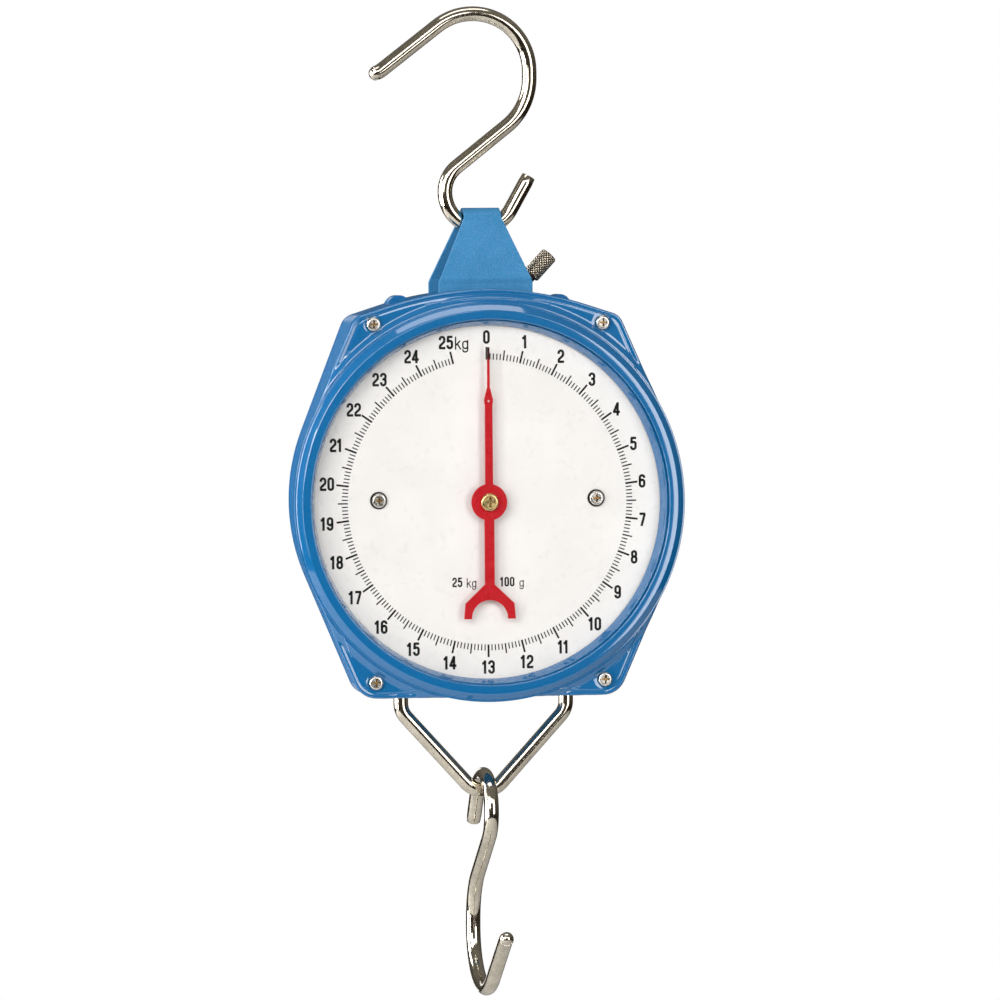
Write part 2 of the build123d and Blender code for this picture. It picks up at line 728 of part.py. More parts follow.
with BuildPart() as pinion:
    with BuildSketch(at_depth(PINION_BACK)):
        Circle(PITCH_R - DEDENDUM)
        with PolarLocations(0, PINION_TEETH, start_angle=180 / PINION_TEETH):
            Polygon(*tooth_outline, align=None)
        Circle(SHAFT_R, mode=Mode.SUBTRACT)
    extrude(amount=PINION_FRONT - PINION_BACK)
pinion.part.label = "pinion"
export_step(pinion.part, "parts/pinion.step")

# needle above the hub, forked tail below it
needle = [(1.7, 0), (1.6, 41.0), (1.9, 43.5), (0.55, 49.0), (0.5, 65.9)]
tail = [(2.1, 0), (2.1, -35.0), (10.6, -43.0), (11.2, -49.6)]
with BuildPart() as pointer:
    with BuildSketch(at_depth(POINTER_BACK)):
        Circle(POINTER_DISC_R)
        for side in (needle, tail):
            Polygon(*side, *[(-x, y) for x, y in reversed(side)], align=None)
        with Locations(FORK_SPOT):
            Circle(FORK_R, mode=Mode.SUBTRACT)
        with Locations(NEEDLE_HOLE_SPOT):
            Circle(NEEDLE_HOLE_R, mode=Mode.SUBTRACT)
        Circle(SHAFT_R, mode=Mode.SUBTRACT)
    extrude(amount=POINTER_FRONT - POINTER_BACK)
pointer.part.label = "pointer"
export_step(pointer.part, "parts/pointer.step")

pointer_hub = washers([(0, 0)], POINTER_HUB_R, SHAFT_R, DIAL_FRONT + 0.6, POINTER_BACK)
pointer_hub.part.label = "pointer_hub"
export_step(pointer_hub.part, "parts/pointer_hub.step")

pointer_screw = cross_screws(
    [(0, 0)],
    POINTER_FRONT,
    POINTER_SCREW_HEAD_R,
    POINTER_SCREW_HEAD,
    POINTER_SCREW_R,
    POINTER_SCREW_LENGTH,
)
pointer_screw.part.label = "pointer_screw"
export_step(pointer_screw.part, "parts/pointer_screw.step")

# ---------------------------------------------------------------- rack, crosshead, bail and hook

flank_slope = tan(PRESSURE_ANGLE)
tooth_half = (TOOTH_PITCH - BACKLASH) / 4
rack_tooth = [
    (PITCH_R + DEDENDUM + TOOTH_ROOTING, -tooth_half - flank_slope * (DEDENDUM + TOOTH_ROOTING)),
    (PITCH_R - ADDENDUM, -tooth_half + flank_slope * ADDENDUM),
    (PITCH_R - ADDENDUM, tooth_half - flank_slope * ADDENDUM),
    (PITCH_R + DEDENDUM + TOOTH_ROOTING, tooth_half + flank_slope * (DEDENDUM + TOOTH_ROOTING)),
]
rack_spots = [(0, n * TOOTH_PITCH) for n in range(-RACK_TEETH_DOWN, RACK_TEETH_UP + 1)]

with BuildPart() as rack:
    with BuildSketch(at_depth(RACK_BACK)):
        with Locations((RACK_RIGHT, RACK_FOOT)):
            Rectangle(RACK_RIGHT - PITCH_R - DEDENDUM, RACK_TOP - RACK_FOOT, align=(Align.MAX, Align.MIN))
        with Locations(*rack_spots):
            Polygon(*rack_tooth, align=None)
        with Locations(RACK_PIN_SPOT):
            Circle(BAIL_PIN_R, mode=Mode.SUBTRACT)
    extrude(amount=RACK_FRONT - RACK_BACK)
rack.part.label = "rack"
export_step(rack.part, "parts/rack.step")

rack_pin = round_pins([RACK_PIN_SPOT], BAIL_PIN_R, -PIN_END, PIN_END)
rack_pin.part.label = "rack_pin"
export_step(rack_pin.part, "parts/rack_pin.step")

with BuildPart() as crosshead:
    with BuildSketch(Plane.YZ):
        with BuildLine():
            Polyline(
                (-CHEEK_MIDDLE, DIAL_Z + CROSSHEAD_TOP),
                (-CHEEK_MIDDLE, DIAL_Z + CROSSHEAD_FOOT + CHANNEL_SHEET / 2),
                (CHEEK_MIDDLE, DIAL_Z + CROSSHEAD_FOOT + CHANNEL_SHEET / 2),
                (CHEEK_MIDDLE, DIAL_Z + CROSSHEAD_TOP),
            )
        trace(line_width=CHANNEL_SHEET)
    extrude(amount=CROSSHEAD_HALF, both=True)
    with BuildSketch(at_depth(0)):
        with Locations(*BAIL_PIN_SPOTS, RACK_PIN_SPOT):
            Circle(BAIL_PIN_R)
        with Locations(*LOWER_PIN_SPOTS):
            Circle(SPRING_PIN_R)
    extrude(amount=PIN_END, both=True, mode=Mode.SUBTRACT)
    with BuildSketch(Plane.XY.offset(DIAL_Z + CROSSHEAD_FOOT)):
        with Locations((-BAIL_X, 0), (BAIL_X, 0)):
            Circle(WIRE_R)
    extrude(amount=CHANNEL_SHEET, mode=Mode.SUBTRACT)
crosshead.part.label = "crosshead"
export_step(crosshead.part, "parts/crosshead.step")

lower_spring_pins = round_pins(LOWER_PIN_SPOTS, SPRING_PIN_R, -PIN_END, PIN_END)
lower_spring_pins.part.label = "lower_spring_pins"
export_step(lower_spring_pins.part, "parts/lower_spring_pins.step")

with BuildPart() as bail:
    with BuildLine(Plane.XZ) as bail_line:
        FilletPolyline(
            (-BAIL_X, BAIL_TOP),
            (-BAIL_X, BAIL_CORNER_Z),
            (0, BAIL_POINT_Z),
            (BAIL_X, BAIL_CORNER_Z),
            (BAIL_X, BAIL_TOP),
            radius=[BAIL_CORNER_R, BAIL_POINT_R, BAIL_CORNER_R],
        )
    with BuildSketch(Plane(origin=bail_line.line @ 0, z_dir=bail_line.line % 0)):
        Circle(WIRE_R)
    sweep(path=bail_line.line)
    with BuildSketch(at_depth(0)):
        with Locations(*BAIL_PIN_SPOTS):
            Circle(BAIL_PIN_R)
    extrude(amount=PIN_END, both=True, mode=Mode.SUBTRACT)
bail.part.label = "bail"
export_step(bail.part, "parts/bail.step")

bail_pins = round_pins(BAIL_PIN_SPOTS, BAIL_PIN_R, -PIN_END, PIN_END)
bail_pins.part.label = "bail_pins"
export_step(bail_pins.part, "parts/bail_pins.step")

# The load hook is the top hook turned over, with its bowl opening to the front
crown_lift = 2 * WIRE_R + HOOK_PLAY
tilt_cos = cos(radians(HOOK_TILT))
tilt_sin = sin(radians(HOOK_TILT))
hook_plane = Plane(
    origin=(0, -crown_lift * tilt_sin, BAIL_SEAT_Z + crown_lift * tilt_cos),
    x_dir=(0, -tilt_cos, -tilt_sin),
    z_dir=(-1, 0, 0),
)
lower_hook = bent_hook(hook_plane, [(-x, HOOK_LOOP_Z - z) for x, z in HOOK_POINTS])
lower_hook.part.label = "lower_hook"
export_step(lower_hook.part, "parts/lower_hook.step")

# ---------------------------------------------------------------- springs and zero adjuster

main_spring_left = tension_spring(-SPRING_X)
main_spring_left.part.label = "main_spring_left"
export_step(main_spring_left.part, "parts/main_spring_left.step")

main_spring_right = tension_spring(SPRING_X)
main_spring_right.part.label = "main_spring_right"
export_step(main_spring_right.part, "parts/main_spring_right.step")

with BuildPart() as spring_carrier:
    with BuildSketch(Plane.YZ):
        with BuildLine():
            Polyline(
                (-CHEEK_MIDDLE, DIAL_Z + CARRIER_FOOT),
                (-CHEEK_MIDDLE, DIAL_Z + CARRIER_TOP - CHANNEL_SHEET / 2),
                (CHEEK_MIDDLE, DIAL_Z + CARRIER_TOP - CHANNEL_SHEET / 2),
                (CHEEK_MIDDLE, DIAL_Z + CARRIER_FOOT),
            )
        trace(line_width=CHANNEL_SHEET)
    extrude(amount=CARRIER_HALF, both=True)
    with BuildSketch(at_depth(0)):
        with Locations(*UPPER_PIN_SPOTS):
            Circle(SPRING_PIN_R)
    extrude(amount=PIN_END, both=True, mode=Mode.SUBTRACT)
    with BuildSketch(at_depth(-STEM_DEPTH)):
        with Locations((0, CARRIER_TOP - CHANNEL_SHEET / 2)):
            Rectangle(2 * STEM_HALF, 30, align=(Align.CENTER, Align.MIN))
        with Locations((0, CARRIER_TOP)):
            Rectangle(2 * STEM_EYE_R, STEM_SPOT[1] - CARRIER_TOP, align=(Align.CENTER, Align.MIN))
        with Locations(STEM_SPOT):
            Circle(STEM_EYE_R)
            Circle(CARRIER_PIN_R, mode=Mode.SUBTRACT)
    extrude(amount=2 * STEM_DEPTH)
spring_carrier.part.label = "spring_carrier"
export_step(spring_carrier.part, "parts/spring_carrier.step")

upper_spring_pins = round_pins(UPPER_PIN_SPOTS, SPRING_PIN_R, -PIN_END, PIN_END)
upper_spring_pins.part.label = "upper_spring_pins"
export_step(upper_spring_pins.part, "parts/upper_spring_pins.step")

carrier_pin = round_pins([STEM_SPOT], CARRIER_PIN_R, -CARRIER_PIN_END, CARRIER_PIN_END)
carrier_pin.part.label = "carrier_pin"
export_step(carrier_pin.part, "parts/carrier_pin.step")

with BuildPart() as zero_lever:
    for back in (-CRANK_OUTER, CRANK_INNER):
        with BuildSketch(at_depth(back)):
            with Locations(STEM_SPOT, CRANK_SPOT, NUT_SPOT):
                Circle(CRANK_EDGE_R)
            make_hull()
        extrude(amount=CRANK_OUTER - CRANK_INNER)
    with BuildSketch(at_depth(-CRANK_INNER)):
        with Locations(CRANK_SPOT):
            Circle(CRANK_EDGE_R)
    extrude(amount=2 * CRANK_INNER)
    with BuildSketch(at_depth(0)):
        with Locations(CRANK_SPOT):
            Circle(SHAFT_R + RUNNING_FIT)
        with Locations(NUT_SPOT):
            Circle(CRANK_NUT_HOLE_R)
        with Locations(STEM_SPOT):
            SlotCenterToCenter(CRANK_SLOT_PLAY, CRANK_SLOT_WIDTH)
    extrude(amount=CRANK_OUTER, both=True, mode=Mode.SUBTRACT)
zero_lever.part.label = "zero_lever"
export_step(zero_lever.part, "parts/zero_lever.step")

lever_pivot_pin = round_pins([CRANK_SPOT], SHAFT_R, CASE_BACK + SHEET, CHASSIS_FRONT)
lever_pivot_pin.part.label = "lever_pivot_pin"
export_step(lever_pivot_pin.part, "parts/lever_pivot_pin.step")

with BuildPart() as zero_nut:
    for radius, half in ((NUT_R, NUT_HALF), (SHAFT_R, CRANK_OUTER)):
        with BuildSketch(at_depth(-half)):
            with Locations(NUT_SPOT):
                Circle(radius)
        extrude(amount=2 * half)
    with BuildSketch(along_zero_screw(NUT_REACH)):
        Circle(ZERO_SCREW_R + THREAD_PLAY)
    extrude(amount=2 * NUT_R, both=True, mode=Mode.SUBTRACT)
zero_nut.part.label = "zero_nut"
export_step(zero_nut.part, "parts/zero_nut.step")

with BuildPart() as zero_screw:
    with BuildSketch(along_zero_screw(ZERO_SCREW_END)):
        Circle(ZERO_SCREW_R)
    extrude(amount=ZERO_SCREW_END - ZERO_SCREW_TOP)
zero_screw.part.label = "zero_screw"
export_step(zero_screw.part, "parts/zero_screw.step")

with BuildPart() as zero_clip:
    with BuildSketch(along_zero_screw(CLIP_END)):
        Circle(CLIP_R)
        Circle(ZERO_SCREW_R, mode=Mode.SUBTRACT)
    extrude(amount=CLIP_END - CLIP_TOP)
zero_clip.part.label = "zero_clip"
export_step(zero_clip.part, "parts/zero_clip.step")

with BuildPart() as zero_knob:
    with BuildSketch(along_zero_screw(KNOB_HALF)):
        Circle(KNOB_R)
    extrude(amount=2 * KNOB_HALF)
    chamfer(zero_knob.faces().filter_by(GeomType.PLANE).edges(), KNOB_CHAMFER)
    with BuildSketch(along_zero_screw(KNOB_BOSS_END)):
        Circle(KNOB_BOSS_R)
    extrude(amount=KNOB_BOSS_END - KNOB_HALF)
    with BuildSketch(along_zero_screw(KNOB_BOSS_END)):
        Circle(ZERO_SCREW_R)
    extrude(amount=KNOB_BOSS_END - ZERO_SCREW_TOP, mode=Mode.SUBTRACT)
zero_knob.part.label = "zero_knob"
export_step(zero_knob.part, "parts/zero_knob.step")

with BuildPart() as zero_bush:
    with BuildSketch(along_zero_screw(BUSH_END)):
        Circle(BUSH_R)
        Circle(ZERO_SCREW_R + THREAD_PLAY, mode=Mode.SUBTRACT)
    extrude(amount=BUSH_END - BUSH_TOP)
zero_bush.part.label = "zero_bush"
export_step(zero_bush.part, "parts/zero_bush.step")
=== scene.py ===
import json
import math

import bpy
import bmesh
import numpy as np
from mathutils import Matrix, Vector


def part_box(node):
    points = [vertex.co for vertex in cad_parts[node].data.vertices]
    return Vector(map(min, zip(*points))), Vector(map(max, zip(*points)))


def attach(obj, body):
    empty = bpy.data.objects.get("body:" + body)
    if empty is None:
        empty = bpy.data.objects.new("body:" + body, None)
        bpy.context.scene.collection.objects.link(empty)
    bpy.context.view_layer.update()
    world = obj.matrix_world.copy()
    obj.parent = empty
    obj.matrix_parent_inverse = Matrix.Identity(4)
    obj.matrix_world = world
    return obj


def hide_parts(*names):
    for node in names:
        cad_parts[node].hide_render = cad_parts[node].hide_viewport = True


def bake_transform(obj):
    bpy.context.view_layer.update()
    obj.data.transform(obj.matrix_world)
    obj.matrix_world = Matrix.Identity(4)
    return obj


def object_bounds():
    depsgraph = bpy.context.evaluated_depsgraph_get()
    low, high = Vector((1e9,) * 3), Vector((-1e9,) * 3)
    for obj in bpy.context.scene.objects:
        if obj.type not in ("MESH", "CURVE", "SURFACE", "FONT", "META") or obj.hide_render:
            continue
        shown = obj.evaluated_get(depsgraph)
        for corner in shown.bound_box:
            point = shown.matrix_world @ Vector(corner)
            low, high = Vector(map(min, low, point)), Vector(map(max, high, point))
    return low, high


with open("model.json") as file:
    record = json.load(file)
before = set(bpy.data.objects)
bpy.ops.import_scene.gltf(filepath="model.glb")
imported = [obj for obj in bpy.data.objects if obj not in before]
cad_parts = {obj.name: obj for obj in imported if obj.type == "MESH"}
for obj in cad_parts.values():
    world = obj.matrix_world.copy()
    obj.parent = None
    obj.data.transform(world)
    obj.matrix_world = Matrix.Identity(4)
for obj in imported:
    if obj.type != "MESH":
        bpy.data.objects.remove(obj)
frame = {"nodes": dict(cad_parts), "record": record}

MM = 0.001
cad_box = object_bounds()

# Places read from the CAD frame, in millimetres
dial_low, dial_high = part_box("dial_plate")
DIAL_Z = (dial_low[2] + dial_high[2]) / 2 / MM
DIAL_FACE = -dial_low[1] / MM
cover_low, cover_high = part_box("front_cover")
BAND_TOP = -cover_low[1] / MM
COVER_BACK = -cover_high[1] / MM
ring_low, ring_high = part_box("bezel_ring")
RING_TOP = -ring_low[1] / MM
RING_R = (ring_high[0] - ring_low[0]) / 2 / MM
bail_low, bail_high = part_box("bail")
WIRE_R = (bail_high[1] - bail_low[1]) / 2 / MM
BAIL_SEAT_Z = bail_low[2] / MM + WIRE_R


# ------------------------------------------------------------------ materials

def links(tree, pairs):
    """Joins each output socket to its input socket."""
    for a, b in pairs:
        tree.links.new(a, b)


def finish_material(name, colour, rough, metal=0.0, tone=0.06, tone_scale=120, speck=0.0,
                    speck_scale=1800, rough_vary=0.08, rough_scale=400, bump=0.02, bump_scale=900,
                    coat=0.0, coat_ior=1.5, specular=0.5, dark=None):
    """Procedural finish: broad tone variation, light and dark specks, roughness variation and bump; on the
    hammered blue the light specks are painted glints.
    """
    mat = bpy.data.materials.new(name)
    mat.use_nodes = True
    t = mat.node_tree
    p = t.nodes["Principled BSDF"]
    p.inputs["Metallic"].default_value = metal
    p.inputs["Coat Weight"].default_value = coat
    p.inputs["Coat Roughness"].default_value = 0.06
    p.inputs["Coat IOR"].default_value = coat_ior
    p.inputs["Specular IOR Level"].default_value = specular
    where = t.nodes.new("ShaderNodeTexCoord")
    place = t.nodes.new("ShaderNodeMapping")
    links(t, [(where.outputs["Object"], place.inputs["Vector"])])

    def noise(scale, detail=4.0):
        n = t.nodes.new("ShaderNodeTexNoise")
        n.inputs["Scale"].default_value = scale
        n.inputs["Detail"].default_value = detail
        links(t, [(place.outputs["Vector"], n.inputs["Vector"])])
        return n.outputs["Fac"]

    def ramp(source, low, high, a, b):
        r = t.nodes.new("ShaderNodeMapRange")
        r.inputs["From Min"].default_value = low
        r.inputs["From Max"].default_value = high
        r.inputs["To Min"].default_value = a
        r.inputs["To Max"].default_value = b
        links(t, [(source, r.inputs["Value"])])
        return r.outputs["Result"]

    def mix(factor, a, b):
        m = t.nodes.new("ShaderNodeMix")
        m.data_type = "RGBA"
        links(t, [(factor, m.inputs["Factor"])])
        for socket, value in ((m.inputs[6], a), (m.inputs[7], b)):
            if isinstance(value, tuple):
                socket.default_value = value
            else:
                links(t, [(value, socket)])
        return m.outputs[2]

    base = tuple(colour) + (1.0,)
    darker = tuple(max(0.0, c * (1 - 3 * tone)) for c in colour) + (1.0,)
    lighter = tuple(min(1.0, c * (1 + 2 * tone) + 0.3 * tone) for c in colour) + (1.0,)
    out = mix(ramp(noise(tone_scale, 5), 0.3, 0.7, 0, 1), darker, lighter)
    # Light specks: random flecks; on the hammered blue they are painted glints of its hammered texture
    if speck:
        bright = tuple(min(1.0, c + (1 - c) * 0.42) for c in colour) + (1.0,)
        out = mix(ramp(noise(speck_scale, 2), 0.48, 0.66, 0, speck), out, bright)
    if dark:
        dull = tuple(c * 0.35 for c in colour) + (1.0,)
        out = mix(ramp(noise(speck_scale * 0.6, 3), 0.56, 0.72, 0, dark), out, dull)
    links(t, [(out, p.inputs["Base Color"])])
    r = ramp(noise(rough_scale, 3), 0.3, 0.7, max(0.02, rough - rough_vary), min(1.0, rough + rough_vary))
    links(t, [(r, p.inputs["Roughness"])])
    b = t.nodes.new("ShaderNodeBump")
    b.inputs["Strength"].default_value = 1.0
    b.inputs["Distance"].default_value = bump * MM
    links(t, [(noise(bump_scale, 3), b.inputs["Height"]), (b.outputs["Normal"], p.inputs["Normal"])])
    mat.diffuse_color = base
    return mat


BLUE = (0.0001, 0.128, 0.342)
paint = finish_material("blue_enamel", BLUE, 0.30, tone=0.008, tone_scale=60, speck=0.012,
                        speck_scale=2200, bump=0.008, bump_scale=900, coat=1.0, coat_ior=1.85,
                        specular=0.08)
shell_paint = finish_material("blue_enamel_shell", BLUE, 0.36, tone=0.01, tone_scale=60, speck=0.03,
                              speck_scale=2200, bump=0.010, bump_scale=900, coat=0.15, specular=0.2)
# Hammered blue for the hanger bracket; its light specks are painted glints of the hammered texture
hammered_painted_glints = finish_material("blue_hammered_painted_glints", (0.030, 0.205, 0.430), 0.42, tone=0.03, tone_scale=90,
                           speck=0.14, speck_scale=2600, bump=0.02, bump_scale=2600, specular=0.10)
nickel = finish_material("polished_nickel", (0.66, 0.605, 0.505), 0.11, metal=1.0, tone=0.05,
                         tone_scale=220, rough_vary=0.06, rough_scale=700, bump=0.004, bump_scale=900,
                         dark=0.45, speck_scale=1500)
bright_steel = finish_material("bright_steel", (0.70, 0.69, 0.66), 0.24, metal=1.0, tone=0.06, tone_scale=900,
                               bump=0.006, bump_scale=2500)
zinc = finish_material("zinc_steel", (0.58, 0.59, 0.60), 0.36, metal=1.0, tone=0.10, tone_scale=260,
                       bump=0.010, bump_scale=1500, speck=0.2)
brass = finish_material("machined_brass", (0.72, 0.53, 0.23), 0.24, metal=1.0, tone=0.07, tone_scale=700,
                        bump=0.006, bump_scale=2200)
knob_metal = finish_material("knurled_nickel_brass", (0.80, 0.72, 0.59), 0.22, metal=1.0, tone=0.08,
                             tone_scale=900, bump=0.01, bump_scale=2500)
# Near-black colour for the knurl's cuts, the knob's ends and the boss: painted shade
knurl_painted_shade = finish_material("knurl_grooves_painted_shade", (0.075, 0.055, 0.038), 0.42, metal=1.0, tone=0.10,
                              tone_scale=900, bump=0.01, bump_scale=2500)
spring_steel = finish_material("spring_steel", (0.30, 0.30, 0.31), 0.35, metal=1.0, tone=0.08, bump=0.01)
rubber = finish_material("black_rubber", (0.018, 0.018, 0.018), 0.62, tone=0.10, bump=0.02, bump_scale=2500)
washer_black = finish_material("black_fibre", (0.007, 0.007, 0.007), 0.50, tone=0.10, bump=0.01,
                               bump_scale=2500, specular=0.08)
dial_white = finish_material("dial_white_enamel", (0.90, 0.885, 0.87), 0.30, tone=0.012, tone_scale=50,
                             bump=0.003, bump_scale=700, rough_vary=0.04)
ink = finish_material("printing_ink", (0.006, 0.006, 0.007), 0.45, tone=0.12, tone_scale=1500, bump=0.004,
                      bump_scale=3000, specular=0.08)
red = finish_material("red_enamel", (0.520, 0.006, 0.014), 0.30, tone=0.02, tone_scale=150, bump=0.006,
                      bump_scale=1200, coat=0.3, specular=0.15)


NEEDLE_DARK_FROM = 59.5
NEEDLE_DARK_FULL = 61.5


def blacken_needle_tip():
    """The needle's last few millimetres are near black."""
    t = red.node_tree
    shader = t.nodes["Principled BSDF"]
    enamel = shader.inputs["Base Color"].links[0].from_socket
    where = t.nodes.new("ShaderNodeTexCoord")
    split = t.nodes.new("ShaderNodeSeparateXYZ")
    high = t.nodes.new("ShaderNodeMapRange")
    high.inputs["From Min"].default_value = (DIAL_Z + NEEDLE_DARK_FROM) * MM
    high.inputs["From Max"].default_value = (DIAL_Z + NEEDLE_DARK_FULL) * MM
    tip = t.nodes.new("ShaderNodeMix")
    tip.data_type = "RGBA"
    tip.inputs[7].default_value = (0.045, 0.012, 0.012, 1)
    links(t, [(where.outputs["Object"], split.inputs["Vector"]), (split.outputs["Z"], high.inputs["Value"]),
              (high.outputs["Result"], tip.inputs["Factor"]), (enamel, tip.inputs[6]),
              (tip.outputs[2], shader.inputs["Base Color"])])


blacken_needle_tip()


def brassy_recess(name, floor_depth):
    """Bright screw head whose cross recess is coloured darker and brassy."""
    mat = bright_steel.copy()
    mat.name = name
    t = mat.node_tree
    shader = t.nodes["Principled BSDF"]
    plating = shader.inputs["Base Color"].links[0].from_socket
    where = t.nodes.new("ShaderNodeTexCoord")
    split = t.nodes.new("ShaderNodeSeparateXYZ")
    # Below the recess floor depth the head's colour turns darker and brassy
    deep = t.nodes.new("ShaderNodeMapRange")
    deep.inputs["From Min"].default_value = -(floor_depth + 0.45) * MM
    deep.inputs["From Max"].default_value = -(floor_depth + 0.1) * MM
    recess_tint = t.nodes.new("ShaderNodeMix")
    recess_tint.data_type = "RGBA"
    recess_tint.inputs[7].default_value = (0.50, 0.30, 0.12, 1)
    links(t, [(where.outputs["Object"], split.inputs["Vector"]), (split.outputs["Y"], deep.inputs["Value"]),
              (deep.outputs["Result"], recess_tint.inputs["Factor"]), (plating, recess_tint.inputs[6]),
              (recess_tint.outputs[2], shader.inputs["Base Color"])])
    return mat


COVER_RECESS = 1.08
DIAL_RECESS = 0.90
cover_screw_steel = brassy_recess("cover_screw_steel", -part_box("cover_screws")[0][1] / MM - COVER_RECESS)
dial_screw_steel = brassy_recess("dial_screw_steel", -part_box("dial_screws")[0][1] / MM - DIAL_RECESS)


def clear_lens():
    """Almost invisible window with faint haze."""
    mat = bpy.data.materials.new("clear_acrylic")
    mat.use_nodes = True
    t = mat.node_tree
    p = t.nodes["Principled BSDF"]
    p.inputs["Base Color"].default_value = (0.02, 0.02, 0.02, 1)
    p.inputs["Alpha"].default_value = 0.03
    p.inputs["IOR"].default_value = 1.49
    where = t.nodes.new("ShaderNodeTexCoord")
    n = t.nodes.new("ShaderNodeTexNoise")
    n.inputs["Scale"].default_value = 300
    r = t.nodes.new("ShaderNodeMapRange")
    r.inputs["To Min"].default_value = 0.02
    r.inputs["To Max"].default_value = 0.08
    links(t, [(where.outputs["Object"], n.inputs["Vector"]), (n.outputs["Fac"], r.inputs["Value"]),
              (r.outputs["Result"], p.inputs["Roughness"])])
    return mat


lens_clear = clear_lens()


# ------------------------------------------------------------------ mesh helpers

def spot(x, z, depth):
    """Point given from the dial's centre: right, up and towards the front, in millimetres."""
    return Vector((x * MM, -depth * MM, (DIAL_Z + z) * MM))


def mesh_piece(name, verts, faces, mat, body, replaces=(), slot=None, smooth=True):
    """Visible piece that rides on a body and may stand in for CAD nodes."""
    me = bpy.data.meshes.new(name)
    me.from_pydata([tuple(v) for v in verts], [], faces)
    me.validate()
    bm = bmesh.new()
    bm.from_mesh(me)
    bmesh.ops.recalc_face_normals(bm, faces=bm.faces)
    bm.to_mesh(me)
    bm.free()
    for poly in me.polygons:
        poly.use_smooth = smooth
    ob = bpy.data.objects.new(name, me)
    bpy.context.scene.collection.objects.link(ob)
    me.materials.append(mat)
    if body:
        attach(ob, body)
    if replaces:
        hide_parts(*replaces)
    return ob


def rounded(points, bends, closed=False, step=math.radians(3)):
    """Points along straight runs joined by tangent arcs of the given radii."""
    pts = [Vector(p) for p in points]
    n = len(pts)
    out = []
    if not closed:
        out.append(pts[0])
    order = range(n) if closed else range(1, n - 1)
    for k, i in enumerate(order):
        a, b, c = pts[i - 1], pts[i], pts[(i + 1) % n]
        u, v = (a - b).normalized(), (c - b).normalized()
        turn = math.pi - u.angle(v)
        reach = bends[k] * math.tan(turn / 2)
        start = b + u * reach
        middle = b + (u + v).normalized() * (bends[k] / math.cos(turn / 2))
        arm = start - middle
        side = (b + v * reach) - middle
        count = max(2, int(math.ceil(turn / step)))
        for j in range(count + 1):
            f = j / count
            swept = arm * math.sin((1 - f) * turn) + side * math.sin(f * turn)
            out.append(middle + swept / math.sin(turn))
    if not closed:
        out.append(pts[-1])
    return out


DOME = ((0.25, 0.96), (0.55, 0.84), (0.80, 0.60), (0.94, 0.34), (0.99, 0.12))
CUT = ((0.10, 0.93), (0.16, 0.86), (0.17, 0.40), (0.17, 0.02))
DENSE_STEP = 3.0
END_CLEAR = 1.02


def grid_faces(rows, sides):
    """Quads between rows of points that each go once round; row k starts at point k * sides."""
    faces = []
    for i in range(rows):
        near, far = i * sides, (i + 1) * sides
        for s in range(sides):
            t = (s + 1) % sides
            faces.append((near + s, near + t, far + t, far + s))
    return faces


def tube(name, line, radius, normal, mat, body, start="cut", end="cut", sides=40, **kw):
    """Round rod along a flat line; its ends are cut square with a small chamfer, or domed."""
    normal = Vector(normal).normalized()
    pts = [Vector(line[0])]
    for a, b in zip(line, line[1:]):
        a, b = Vector(a), Vector(b)
        count = max(1, int((b - a).length / DENSE_STEP))
        pts += [a + (b - a) * (j / count) for j in range(1, count + 1)]
    rings = []

    def ring(centre, direction, r):
        across = direction.cross(normal)
        rings.append([centre + (normal * math.cos(q) + across * math.sin(q)) * r
                      for q in (2 * math.pi * s / sides for s in range(sides))])

    def cap(centre, direction, kind, first):
        steps = DOME if kind == "dome" else CUT
        away = direction * (-1 if first else 1)
        back = steps[-1][0] * radius
        made = [(centre + away * (f * radius - back), r * radius) for f, r in steps]
        for c, r in (reversed(made) if first else made):
            ring(c, direction, r)

    first = (pts[1] - pts[0]).normalized()
    last = (pts[-1] - pts[-2]).normalized()
    cap(pts[0], first, start, True)
    clear = radius * END_CLEAR
    kept = [p for p in pts[1:-1] if (p - pts[0]).length > clear and (p - pts[-1]).length > clear]
    run = [pts[0] + first * radius] + kept + [pts[-1] - last * radius]
    for i, p in enumerate(run):
        a = run[max(0, i - 1)]
        b = run[min(len(run) - 1, i + 1)]
        ring(p, (b - a).normalized(), radius)
    cap(pts[-1], last, end, False)
    verts = [v * MM for r in rings for v in r]
    faces = grid_faces(len(rings) - 1, sides)
    faces.append(tuple(range(sides)))
    faces.append(tuple((len(rings) - 1) * sides + s for s in reversed(range(sides))))
    return mesh_piece(name, verts, faces, mat, body, **kw)


def lathe(name, profile, mat, body, segments=288, **kw):
    """Closed section of (radius, depth) points turned about the dial's axis."""
    verts, faces = [], []
    n = len(profile)
    for s in range(segments):
        q = 2 * math.pi * s / segments
        for r, d in profile:
            verts.append(spot(r * math.sin(q), r * math.cos(q), d))
        for i in range(n):
            j = (i + 1) % n
            t = (s + 1) % segments
            faces.append((s * n + i, s * n + j, t * n + j, t * n + i))
    return mesh_piece(name, verts, faces, mat, body, **kw)


# ------------------------------------------------------------------ hooks and bail

# Corners of the bent rod, right of and above the hang point, then the radius of each bend
LOOP_Z = -87.8
HOOK = [(21.4, -66.0), (9.0, LOOP_Z), (-15.2, LOOP_Z), (-15.2, -65.9), (21.9, -36.7), (21.9, 3.3),
        (-11.3, 3.3), (-44.0, -21.8), (-47.9, -22.4)]
HOOK_BENDS = [15.2, 15.2, 13.5, 26.0, 24.4, 25.0, 8.5]
HOOK_LEAN = 2.0
HOOK_PLAY = 0.35
flat_hook = rounded([(x, 0, z) for x, z in HOOK], HOOK_BENDS)
tube("top_hook_rod", flat_hook, WIRE_R, (0, 1, 0), nickel, "top_hook", start="cut", end="dome",
     replaces=["top_hook"], slot="nickel_wire")

